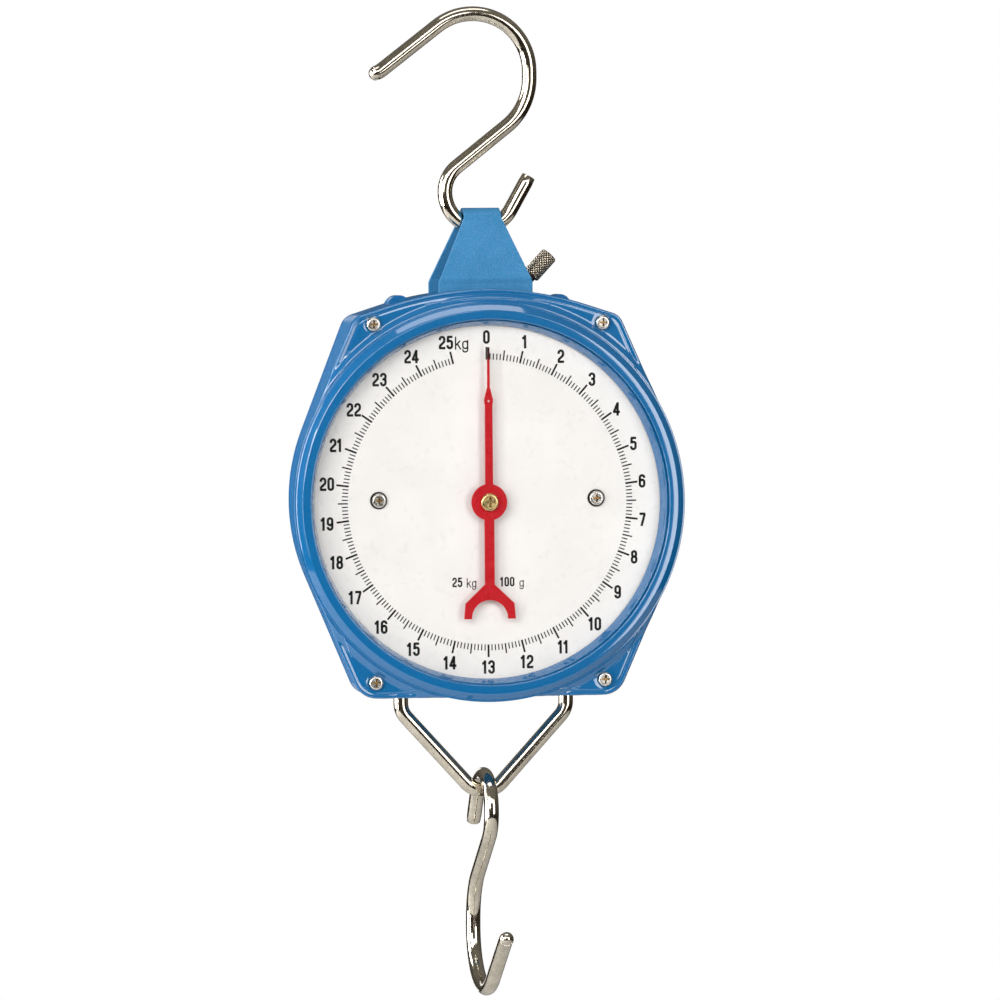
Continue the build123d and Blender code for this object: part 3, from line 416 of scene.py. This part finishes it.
# The load hook is the same bent rod, turned a quarter and hung upside down on the bail's corner
lean = math.radians(HOOK_LEAN)
crown = 2 * WIRE_R + HOOK_PLAY
origin = Vector((0, -crown * math.sin(lean), BAIL_SEAT_Z + crown * math.cos(lean)))
along = Vector((0, -math.cos(lean), -math.sin(lean)))
upward = Vector((0, -math.sin(lean), math.cos(lean)))
turned = [origin + along * (-p.x) + upward * (LOOP_Z - p.z) for p in flat_hook]
tube("load_hook_rod", turned, WIRE_R, (1, 0, 0), nickel, "lower_hook", start="cut", end="dome",
     replaces=["lower_hook"], slot="nickel_wire")

# The bail is a rod bent to a point, with its two upright ends inside the case
BAIL_X = bail_high[0] / MM - WIRE_R
BAIL_TOP = bail_high[2] / MM
BAIL_CORNER_Z = -293.6
BAIL_POINT_Z = -332.8
BAIL_CORNER_R = 9.0
BAIL_POINT_R = 10.5
bail_line = rounded([(-BAIL_X, 0, BAIL_TOP), (-BAIL_X, 0, BAIL_CORNER_Z), (0, 0, BAIL_POINT_Z),
                     (BAIL_X, 0, BAIL_CORNER_Z), (BAIL_X, 0, BAIL_TOP)],
                    [BAIL_CORNER_R, BAIL_POINT_R, BAIL_CORNER_R])
tube("bail_rod", bail_line, WIRE_R, (0, 1, 0), nickel, "load_carriage", replaces=["bail"], slot="nickel_wire")


# ------------------------------------------------------------------ front cover as one pressed sheet

CROWN_Z = 97.5
CROWN_R = 140.0
TOP_CORNER = (57.4, 79.15)
TOP_CORNER_R = 7.0
FLANK_X = 92.6
FLANK_R = 84.6
FOOT = (55.9, -82.7)
FOOT_R = 10.0
COVER_FACE = 15.0
COVER_HOLE = 78.5
COVER_SHEET = 1.2
BAND_OUTER = 88.0
BAND_HOLLOW = 82.0
CREASE_STRIP = 3.8
SEAT_BLEND = (3.2, 5.2)
DISH_BLEND = (3.4, 4.6)
DISH_DEPTH = 0.12
GROOVE_INSET = 2.2
GROOVE_WIDTH = 0.55
GROOVE_DEPTH = 0.22
LIP_WIDTH = 0.6
LIP_DROP = 0.55
SCREW_X = 49.8
SCREW_Z = 76.0
SCREWS = [(x, z) for z in (SCREW_Z, -SCREW_Z) for x in (-SCREW_X, SCREW_X)]


def cover_outline():
    """Rim of the cover: a crowned top, flanks that bulge round the dial, and two feet."""
    x, z = TOP_CORNER
    foot_x, foot_z = FOOT
    pts = [(0, CROWN_Z, 0), (x, z, 0), (FLANK_X, 0, 0), (foot_x, foot_z, 0), (-foot_x, foot_z, 0),
           (-FLANK_X, 0, 0), (-x, z, 0)]
    bends = [CROWN_R, TOP_CORNER_R, FLANK_R, FOOT_R, FOOT_R, FLANK_R, TOP_CORNER_R]
    return rounded(pts, bends, closed=True, step=math.radians(1.5))


def reach_of(line):
    """Distance of a closed outline from the dial's centre for any direction clockwise from the top."""
    dense = []
    for a, b in zip(line, line[1:] + line[:1]):
        dense += [a + (b - a) * (j / 12) for j in range(12)]
    q = np.array([math.atan2(p.x, p.y) % (2 * math.pi) for p in dense])
    r = np.array([p.length for p in dense])
    order = np.argsort(q)
    q, r = q[order], r[order]
    return lambda a: float(np.interp(a % (2 * math.pi), q, r, period=2 * math.pi))


cover_reach = reach_of(cover_outline())


def smoothstep(a, b, v):
    """Eases from 0 at a to 1 at b."""
    t = min(1.0, max(0.0, (v - a) / (b - a)))
    return t * t * (3 - 2 * t)


def cover_depth(x, z, from_edge):
    """Front face of the pressed cover; flats are pressed round the screws and the rim is rolled over."""
    r = math.hypot(x, z)
    rise = 1.0 - smoothstep(BAND_OUTER - 2.9, BAND_OUTER + 0.1, r)
    near = min(math.hypot(x - sx, z - sz) for sx, sz in SCREWS)
    rise *= smoothstep(*SEAT_BLEND, near)
    dish = -DISH_DEPTH * (1.0 - smoothstep(*DISH_BLEND, near))
    groove = 0.0
    if r > BAND_OUTER - 2.0:
        groove = -GROOVE_DEPTH * math.exp(-((from_edge - GROOVE_INSET) / GROOVE_WIDTH) ** 2)
    lip = -LIP_DROP * (1.0 - smoothstep(0.0, LIP_WIDTH, from_edge)) ** 2
    return COVER_FACE + (BAND_TOP - COVER_FACE) * rise + dish + groove + lip


def build_cover():
    """Pressed sheet as rays from the rim to the dial opening, with close rows where it is creased."""
    segments = 1080
    rim_rows = [0.0, 0.12, 0.3, 0.6, 1.1, 1.5, 1.8, 2.1, 2.4, 2.7, 3.2, CREASE_STRIP]
    band_start = BAND_OUTER + 0.3
    band_rows = [band_start, 87.6, 87.0, 86.4, 85.8, 85.3, 84.9, 84.0, BAND_HOLLOW, COVER_HOLE]
    verts = []
    for s in range(segments):
        q = 2 * math.pi * s / segments
        edge = cover_reach(q)
        crease = edge - CREASE_STRIP
        span = max(0.0, crease - band_start)
        radii = [edge] + [edge - v for v in rim_rows]
        radii += [crease - span * f for f in (0.2, 0.4, 0.6, 0.8)]
        radii += [min(v, crease) for v in band_rows]
        row = [(r, COVER_BACK if k == 0 else cover_depth(r * math.sin(q), r * math.cos(q), edge - r))
               for k, r in enumerate(radii)]
        row += [(COVER_HOLE, BAND_TOP - COVER_SHEET), (BAND_HOLLOW, BAND_TOP - COVER_SHEET)]
        verts += [spot(r * math.sin(q), r * math.cos(q), d) for r, d in row]
    columns = len(verts) // segments
    faces = []
    for s in range(segments):
        t = (s + 1) % segments
        for k in range(columns - 1):
            faces.append((s * columns + k, s * columns + k + 1, t * columns + k + 1, t * columns + k))
    return mesh_piece("front_cover_pressed", verts, faces, paint, "case", replaces=["front_cover"],
                      slot="blue_paint")


build_cover()

# ------------------------------------------------------------------ bezel ring, surround

RING_OPENING = 77.7
RING_FLANGE = RING_R - 4.3
ring_section = rounded(
    [(RING_FLANGE, BAND_TOP, 0), (RING_R, BAND_TOP, 0), (RING_R, BAND_TOP + 0.75, 0),
     (RING_R - 0.75, BAND_TOP + 0.75, 0), (RING_R - 1.0, BAND_TOP + 1.25, 0), (81.5, RING_TOP - 0.15, 0),
     (RING_OPENING, RING_TOP, 0), (RING_OPENING, RING_TOP - 1.0, 0), (RING_FLANGE, RING_TOP - 1.0, 0)],
    [0.05, 0.12, 0.3, 0.2, 0.15, 0.9, 0.55, 0.1, 0.05], closed=True, step=math.radians(12))
lathe("bezel_ring_turned", [(p.x, p.y) for p in ring_section], paint, "case", replaces=["bezel_ring"],
      slot="blue_paint")

SURROUND_R = 80.3
SURROUND_FOOT = 75.0
surround_section = rounded(
    [(SURROUND_R, BAND_TOP + 0.05, 0), (SURROUND_R, BAND_TOP + 0.6, 0), (77.0, BAND_TOP + 0.6, 0),
     (SURROUND_FOOT, DIAL_FACE + 0.8, 0), (SURROUND_FOOT + 0.9, DIAL_FACE + 0.8, 0),
     (77.9, BAND_TOP + 0.05, 0)],
    [0.05, 0.05, 0.4, 0.2, 0.2, 0.2], closed=True, step=math.radians(15))
lathe("dial_surround_turned", [(p.x, p.y) for p in surround_section], paint, "case",
      replaces=["dial_surround"], slot="blue_paint")

# ------------------------------------------------------------------ dial printing

FULL_LOAD_KG = 25
TICKS_PER_KG = 10
KG_PER_TURN = 26
INK_DEPTH = DIAL_FACE + 0.03
TICK_ROOT = 60.6
KG_TICK = (66.0, 0.42)
HALF_KG_TICK = (64.9, 0.31)
SMALL_TICK = (63.2, 0.25)


def tick_marks():
    """One mark every 100 g: its outer radius and half its width are longer at each half and whole kg."""
    verts, faces = [], []
    for i in range(FULL_LOAD_KG * TICKS_PER_KG + 1):
        q = 2 * math.pi * i / (KG_PER_TURN * TICKS_PER_KG)
        whole, half_way = i % TICKS_PER_KG == 0, i % (TICKS_PER_KG // 2) == 0
        outer, half = KG_TICK if whole else HALF_KG_TICK if half_way else SMALL_TICK
        along = Vector((math.sin(q), math.cos(q)))
        side = Vector((math.cos(q), -math.sin(q)))
        base = len(verts)
        for r, w in ((TICK_ROOT, -half), (TICK_ROOT, half), (outer, half), (outer, -half)):
            p = along * r + side * w
            verts.append(spot(p.x, p.y, INK_DEPTH))
        faces.append((base, base + 1, base + 2, base + 3))
    return mesh_piece("dial_ticks", verts, faces, ink, "case", slot="dial_white", smooth=False)


tick_marks()
lettering = ([], [])


def strokes(char, w, h):
    """Pen paths of a condensed upright character in a box w wide and h high: (points, bends, closed)."""
    half = w * 0.5
    mid = h * 0.53
    shapes = {
        "0": [([(0, 0), (w, 0), (w, h), (0, h)], [half] * 4, True)],
        "1": [([(0.75 * w, -0.1 * h), (0.75 * w, 1.1 * h)], [], False),
              ([(0.1 * w, 0.80 * h), (0.42 * w, 0.83 * h), (0.75 * w, h)], [0.4], False)],
        "2": [([(0, 0.71 * h), (0, h), (w, h), (w, 0.58 * h), (0.02 * w, 0.20 * h), (0.02 * w, 0),
                (1.25 * w, 0)],
               [half, half, 0.9, 0.5, 0.03], False)],
        "3": [([(0, 0.74 * h), (0, h), (w, h), (w, mid), (0.3 * w, mid)], [half, half, half * 0.8], False),
              ([(0.3 * w, mid), (w, mid), (w, 0), (0, 0), (0, 0.27 * h)], [half * 0.8, half, half], False)],
        "4": [([(0.76 * w, -0.1 * h), (0.76 * w, 1.1 * h)], [], False),
              ([(0.72 * w, 1.0 * h), (-0.08 * w, 0.24 * h), (1.3 * w, 0.24 * h)], [0.05], False)],
        "5": [([(1.15 * w, h), (0.12 * w, h), (0.04 * w, 0.50 * h)], [0.05], False),
              ([(0.04 * w, 0.52 * h), (0.22 * w, 0.64 * h), (w, 0.64 * h), (w, 0), (0, 0), (0, 0.27 * h)],
               [0.2, half * 0.9, half, half], False)],
        "6": [([(0, 0), (w, 0), (w, 0.60 * h), (0, 0.60 * h)], [half] * 4, True),
              ([(0, 0.3 * h), (0, h), (w, h), (w, 0.76 * h)], [half, half], False)],
        "7": [([(-0.15 * w, h), (1.0 * w, h), (1.0 * w, 0.9 * h), (0.32 * w, -0.1 * h)],
               [0.05, 1.2], False)],
        "8": [([(0, 0), (w, 0), (w, mid), (0, mid)], [half] * 4, True),
              ([(0.06 * w, mid), (0.94 * w, mid), (0.94 * w, h), (0.06 * w, h)], [half * 0.87] * 4, True)],
        "9": [([(0, 0.40 * h), (w, 0.40 * h), (w, h), (0, h)], [half] * 4, True),
              ([(w, 0.7 * h), (w, 0), (0, 0), (0, 0.24 * h)], [half, half], False)],
        "k": [([(0, -0.1 * h), (0, 1.1 * h)], [], False),
              ([(0.95 * w, 0.72 * h), (0.05 * w, 0.28 * h)], [], False),
              ([(0.38 * w, 0.42 * h), (1.1 * w, -0.1 * h)], [], False)],
        "g": [([(0, 0), (w, 0), (w, 0.66 * h), (0, 0.66 * h)], [half] * 4, True),
              ([(w, 0.78 * h), (w, -0.32 * h), (0, -0.32 * h), (0, -0.16 * h)], [half, half * 0.9], False)],
    }
    return shapes[char]


def ribbon(points, closed, pen):
    """Flat stroke of even width along a pen path."""
    verts, faces = lettering
    base = len(verts)
    n = len(points)
    for i, p in enumerate(points):
        a = points[i - 1] if closed or i else p
        b = points[(i + 1) % n] if closed or i < n - 1 else p
        u = (p - a).normalized() if (p - a).length > 1e-9 else (b - p).normalized()
        v = (b - p).normalized() if (b - p).length > 1e-9 else u
        along = (u + v).normalized()
        side = Vector((-along.y, along.x, 0)) * (pen / 2 / max(0.5, along.dot(u)))
        for q in (p + side, p - side):
            verts.append(spot(q.x, q.y, INK_DEPTH))
    for i in range(n if closed else n - 1):
        j = (i + 1) % n
        faces.append((base + 2 * i, base + 2 * i + 1, base + 2 * j + 1, base + 2 * j))


def print_text(text, x, z, height, pen, wide, gap):
    """Characters in a row centred at a spot; height is the digits' full height."""
    w, h = wide - pen, height - pen
    widths = [wide * (0.72 if c == "1" else 1.0) for c in text]
    total = sum(widths) + gap * (len(text) - 1)
    left = x - total / 2
    for char, step in zip(text, widths):
        corner = Vector((left + pen / 2 - (0.28 * wide if char == "1" else 0), z - h / 2, 0))
        for points, bends, closed in strokes(char, w, h):
            flat = [Vector((p[0], p[1], 0)) for p in points]
            path = rounded(flat, bends, closed, step=math.radians(12)) if len(flat) > 2 else flat
            clean = [p for i, p in enumerate(path) if i == 0 or (p - path[i - 1]).length > 1e-5]
            if closed and (clean[0] - clean[-1]).length < 1e-5:
                clean.pop()
            ribbon([corner + p for p in clean], closed, pen)
        left += step + gap


# Each print is its height, pen width, character width and gap
BIG_FIGURES = (5.8, 1.06, 2.95, 0.36)
BIG_UNIT = (5.2, 0.62, 2.7, 0.45)
SMALL_FIGURES = (4.1, 0.72, 2.0, 0.35)
SMALL_UNIT = (3.8, 0.42, 1.9, 0.35)
FIGURE_R = 70.2
ONE_DIGIT_INSET = 2.2
TWO_DIGIT_INSET = 0.1
for kg in range(FULL_LOAD_KG):
    q = 2 * math.pi * kg / KG_PER_TURN
    inset = ONE_DIGIT_INSET if kg < 10 else TWO_DIGIT_INSET
    r = FIGURE_R - inset * math.sin(q) ** 2
    print_text(str(kg), r * math.sin(q), r * math.cos(q), *BIG_FIGURES)
for text, x, z, style in (("25", -17.6, 68.0, BIG_FIGURES), ("kg", -10.8, 67.7, BIG_UNIT),
                          ("25", -13.4, -34.0, SMALL_FIGURES), ("kg", -7.2, -34.3, SMALL_UNIT),
                          ("100", 8.4, -34.0, SMALL_FIGURES), ("g", 14.6, -34.3, SMALL_UNIT)):
    print_text(text, x, z, *style)
mesh_piece("dial_numerals", lettering[0], lettering[1], ink, "case", slot="dial_white", smooth=False)

# ------------------------------------------------------------------ knurled zero knob

zero_joint = next(j for j in frame["record"]["behaviour"]["joints"] if j["name"] == "zero_turn")
KNOB_MIDDLE = Vector(zero_joint["pos_m"])
KNOB_AXIS = Vector(zero_joint["axis"]).normalized()
KNOB_ACROSS = Vector((0, 1, 0))
KNOB_OTHER = KNOB_AXIS.cross(KNOB_ACROSS)
KNOB_R = 3.75
KNOB_HALF = 6.05
KNOB_BOSS_R = 2.5
KNOB_BOSS_END = 9.2
KNURL_TEETH = 16
KNURL_DEPTH = 0.4
KNURL_FLAT = 0.35
# Faces past GROOVE_FROM in the knurl, and within DARK_END of each end, get painted shade
GROOVE_FROM = 0.62
END_ROUNDING = 0.45
END_ROUNDING_LENGTH = 0.7
DARK_END = 0.25
KNURL_PITCH = 2 * math.pi * KNOB_R / KNURL_TEETH


def knurl(turn, height):
    """0 on the middle of a diamond, 1 along the cuts between diamonds."""
    a = (turn * KNURL_TEETH / (2 * math.pi) + height / KNURL_PITCH) % 1.0
    b = (turn * KNURL_TEETH / (2 * math.pi) - height / KNURL_PITCH) % 1.0
    return max(abs(a - 0.5), abs(b - 0.5)) * 2


def knurled_knob():
    """Diamond-knurled head with slightly domed ends, and a plain boss below it."""
    rows, sides = 120, 416
    verts = []

    def circle(radius_at, height):
        """Adds one turn of points and gives their numbers."""
        first = len(verts)
        for s in range(sides):
            q = 2 * math.pi * s / sides
            out = (KNOB_ACROSS * math.cos(q) + KNOB_OTHER * math.sin(q)) * radius_at(q)
            verts.append(KNOB_MIDDLE + (KNOB_AXIS * height + out) * MM)
        return list(range(first, first + sides))

    def band(low, high):
        """Quads between two turns of points."""
        return [(low[s], low[(s + 1) % sides], high[(s + 1) % sides], high[s]) for s in range(sides)]

    for i in range(rows + 1):
        h = -KNOB_HALF + 2 * KNOB_HALF * i / rows
        edge = min(1.0, (KNOB_HALF - abs(h)) / END_ROUNDING_LENGTH)
        rounding = END_ROUNDING * (1 - edge) ** 1.5
        circle(lambda q: KNOB_R - KNURL_DEPTH * max(0.0, knurl(q, h) - KNURL_FLAT) / (1 - KNURL_FLAT)
               - rounding, h)
    faces = grid_faces(rows, sides)
    for row, h, lift in ((rows, KNOB_HALF, 0.06), (0, -KNOB_HALF, -0.06)):
        last = list(range(row * sides, (row + 1) * sides))
        for radius, rise in ((3.1, 1.0), (2.2, 1.6), (0.9, 1.2)):
            inner = circle(lambda q: radius, h + lift * rise)
            faces += band(last, inner)
            last = inner
        faces.append(tuple(last))
    root = circle(lambda q: KNOB_BOSS_R, -KNOB_HALF)
    end = circle(lambda q: KNOB_BOSS_R, -KNOB_BOSS_END)
    faces += band(root, end)
    faces.append(tuple(end))
    knob = mesh_piece("zero_knob_knurled", verts, faces, knob_metal, "zero_knob", replaces=["zero_knob"],
                      slot="knob_nickel")
    # Painted shade: faces in the knurl's cuts, at the knob's ends and on the boss take the near-black second
    # material
    knob.data.materials.append(knurl_painted_shade)
    for face in knob.data.polygons:
        arm = face.center - KNOB_MIDDLE
        h = arm.dot(KNOB_AXIS) / MM
        q = math.atan2(arm.dot(KNOB_OTHER), arm.dot(KNOB_ACROSS))
        if knurl(q, h) > GROOVE_FROM or abs(h) > KNOB_HALF - DARK_END:
            face.material_index = 1
    return knob


knurled_knob()

# ------------------------------------------------------------------ main springs

SPRING_X = 22.0
SPRING_WIRE_R = 1.05
SPRING_R = 6.0
SPRING_TURNS = 28
LOOP_DROP = SPRING_WIRE_R + SPRING_R
LOOP_STEPS = 20
LOOP_SWEEP = 2 * math.pi * 0.82
COIL_STEPS = 28
COIL_TOP_GAP = 11.25
COIL_FOOT_GAP = 15.05


def unit(v, otherwise):
    """Unit vector, or a given one where the vector has no length."""
    return v.normalized() if v.length > 1e-6 else Vector(otherwise)


def coil_spring(name, node, x):
    """Tension spring with an end loop at each end, stretched between the case and the load carriage."""
    low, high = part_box(node)
    top_z, foot_z = high[2] / MM, low[2] / MM
    start, stop = top_z - COIL_TOP_GAP, foot_z + COIL_FOOT_GAP

    def loop_point(angle, middle):
        return Vector((x + SPRING_R * math.cos(angle), 0, middle + SPRING_R * math.sin(angle)))

    pts = [loop_point(-math.pi / 2 + LOOP_SWEEP * (1 - i / LOOP_STEPS), top_z - LOOP_DROP)
           for i in range(LOOP_STEPS + 1)]
    count = SPRING_TURNS * COIL_STEPS
    for i in range(count + 1):
        f = i / count
        a = -2 * math.pi * SPRING_TURNS * f
        pts.append(Vector((x + SPRING_R * math.cos(a), SPRING_R * math.sin(a), start + (stop - start) * f)))
    pts += [loop_point(-LOOP_SWEEP * (i / LOOP_STEPS), foot_z + LOOP_DROP) for i in range(LOOP_STEPS + 1)]
    sides = 10
    verts = []
    for i, p in enumerate(pts):
        direction = unit(pts[min(len(pts) - 1, i + 1)] - pts[max(0, i - 1)], (0, 0, 1))
        out = unit(Vector((p.x - x, p.y, 0)), (1, 0, 0))
        u = unit(direction.cross(out), (0, 1, 0))
        v = u.cross(direction).normalized()
        for s in range(sides):
            q = 2 * math.pi * s / sides
            verts.append((p + (u * math.cos(q) + v * math.sin(q)) * SPRING_WIRE_R) * MM)
    ob = mesh_piece(name, verts, grid_faces(len(pts) - 1, sides), spring_steel, None, replaces=[node],
                    slot="spring_steel")
    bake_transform(ob)
    return ob


coil_spring("spring_coil_left", "main_spring_left", -SPRING_X)
coil_spring("spring_coil_right", "main_spring_right", SPRING_X)

# ------------------------------------------------------------------ finishes for the CAD nodes

by_slot = {
    "blue_paint": paint, "nickel_wire": nickel, "bright_steel": bright_steel, "zinc_steel": zinc,
    "brass": brass, "knob_nickel": knob_metal, "spring_steel": spring_steel, "black_rubber": rubber,
    "black_washer": washer_black, "clear_lens": lens_clear, "dial_white": dial_white, "pointer_red": red,
}
by_node = {"rear_case": shell_paint, "hanger_bracket": hammered_painted_glints, "cover_screws": cover_screw_steel,
           "dial_screws": dial_screw_steel}
SOFT_EDGES = {"hanger_bracket": 0.35, "pointer": 0.12, "dial_washers": 0.12, "cover_screws": 0.08,
              "dial_screws": 0.08, "pointer_screw": 0.10, "rear_case": 0.25}
slot_of = {s["node"]: s["material_slot"] for s in frame["record"]["subparts"]}
for node, ob in frame["nodes"].items():
    mat = by_node.get(node, by_slot[slot_of[node]])
    width = SOFT_EDGES.get(node)
    if width:
        bevel = ob.modifiers.new("soft_edges", "BEVEL")
        bevel.width = width * MM
        bevel.segments = 3
        bevel.limit_method = "ANGLE"
        bevel.angle_limit = math.radians(35)
        bevel.harden_normals = True
    if not ob.material_slots:
        ob.data.materials.append(mat)
    for material_slot in ob.material_slots:
        material_slot.material = mat

# ------------------------------------------------------------------ studio

# Camera angles, then places and sizes in metres; the sensor is in millimetres
AZ = math.radians(-12.3)
EL = math.radians(1.5)
ROLL = math.radians(-0.40)
DISTANCE = 4.0
FRAME_WIDTH = 0.4265
SENSOR = 36.0
ASIDE = 0.0077
ABOVE = 0.0005
FLOOR_DROP = 0.35
FLOOR_R = 1.3
right = Vector((math.cos(AZ), math.sin(AZ), 0))
middle_z = (cad_box[0][2] + cad_box[1][2]) / 2
target = Vector((0, 0, middle_z + ABOVE)) + right * ASIDE
toward = Vector((math.sin(AZ) * math.cos(EL), -math.cos(AZ) * math.cos(EL), math.sin(EL)))

white = finish_material("studio_floor", (0.74, 0.74, 0.74), 0.85, tone=0.006, tone_scale=3, bump=0.0)


def floor_disc(radius, sides):
    """Plain pale floor under the object."""
    floor_z = cad_box[0][2] - FLOOR_DROP
    rim = [(radius * math.cos(a), radius * math.sin(a), floor_z)
           for a in (2 * math.pi * k / sides for k in range(sides))]
    me = bpy.data.meshes.new("floor")
    me.from_pydata(rim, [], [tuple(range(sides))])
    me.materials.append(white)
    ob = bpy.data.objects.new("floor", me)
    bpy.context.scene.collection.objects.link(ob)
    return ob


floor_disc(FLOOR_R, 96)


def area(name, place, size, power, colour=(1, 1, 1)):
    """Soft rectangular lamp placed from the camera's side: right, away and up from the object."""
    data = bpy.data.lights.new(name, "AREA")
    data.shape = "RECTANGLE"
    data.size, data.size_y = size
    data.energy = power
    data.color = colour
    ob = bpy.data.objects.new(name, data)
    bpy.context.scene.collection.objects.link(ob)
    place = Matrix.Rotation(AZ, 3, "Z") @ Vector(place) + Vector((0, 0, middle_z))
    ob.location = place
    aim = Vector((0, 0, middle_z))
    ob.rotation_euler = (aim - place).to_track_quat("-Z", "Y").to_euler()
    return ob


area("key", (-0.95, -1.9, 0.7), (1.1, 1.1), 22, (1.0, 0.99, 0.97))
area("fill", (1.5, -1.7, 0.3), (0.9, 1.4), 18, (1.0, 0.985, 0.965))
area("front", (0.0, -2.2, 1.05), (1.9, 0.5), 14)
area("top", (0.1, -0.3, 1.6), (1.2, 0.5), 5)
area("edge_behind", (-0.50, 2.1, 0.0), (0.45, 1.3), 2.5)
area("strip_left", (-1.44, -1.39, 0.1), (0.16, 1.5), 9)
area("edge_left", (-1.4, 0.1, 0.2), (0.4, 1.3), 14)
area("glint_left", (-1.75, -0.62, -0.05), (0.14, 1.7), 10)


def studio_world():
    """Pale backdrop for the camera, and a dim room that is darker below for everything it lights."""
    world = bpy.data.worlds.new("studio")
    bpy.context.scene.world = world
    world.use_nodes = True
    tree = world.node_tree
    background = tree.nodes["Background"]
    background.inputs["Strength"].default_value = 0.55
    where = tree.nodes.new("ShaderNodeTexCoord")
    split = tree.nodes.new("ShaderNodeSeparateXYZ")
    height = tree.nodes.new("ShaderNodeMapRange")
    height.inputs["From Min"].default_value = -0.25
    height.inputs["From Max"].default_value = 0.7
    shade = tree.nodes.new("ShaderNodeMix")
    shade.data_type = "RGBA"
    shade.inputs[6].default_value = (0.040, 0.030, 0.020, 1)
    shade.inputs[7].default_value = (0.34, 0.32, 0.28, 1)
    seen = tree.nodes.new("ShaderNodeLightPath")
    pale = tree.nodes.new("ShaderNodeBackground")
    pale.inputs["Color"].default_value = (1, 1, 1, 1)
    either = tree.nodes.new("ShaderNodeMixShader")
    links(tree, [(where.outputs["Generated"], split.inputs["Vector"]),
                 (split.outputs["Z"], height.inputs["Value"]),
                 (height.outputs["Result"], shade.inputs["Factor"]),
                 (shade.outputs[2], background.inputs["Color"]),
                 (seen.outputs["Is Camera Ray"], either.inputs["Fac"]),
                 (background.outputs[0], either.inputs[1]), (pale.outputs[0], either.inputs[2]),
                 (either.outputs[0], tree.nodes["World Output"].inputs["Surface"])])


studio_world()

camera_data = bpy.data.cameras.new("camera")
camera_data.sensor_width = SENSOR
camera_data.lens = SENSOR * DISTANCE / FRAME_WIDTH
camera_data.clip_end = 60
camera = bpy.data.objects.new("camera", camera_data)
bpy.context.scene.collection.objects.link(camera)
camera.location = target + toward * DISTANCE
look = (target - camera.location).to_track_quat("-Z", "Y").to_matrix().to_4x4()
camera.matrix_world = Matrix.Translation(camera.location) @ look @ Matrix.Rotation(ROLL, 4, "Z")
bpy.context.scene.camera = camera
bpy.context.scene.view_settings.view_transform = "Standard"
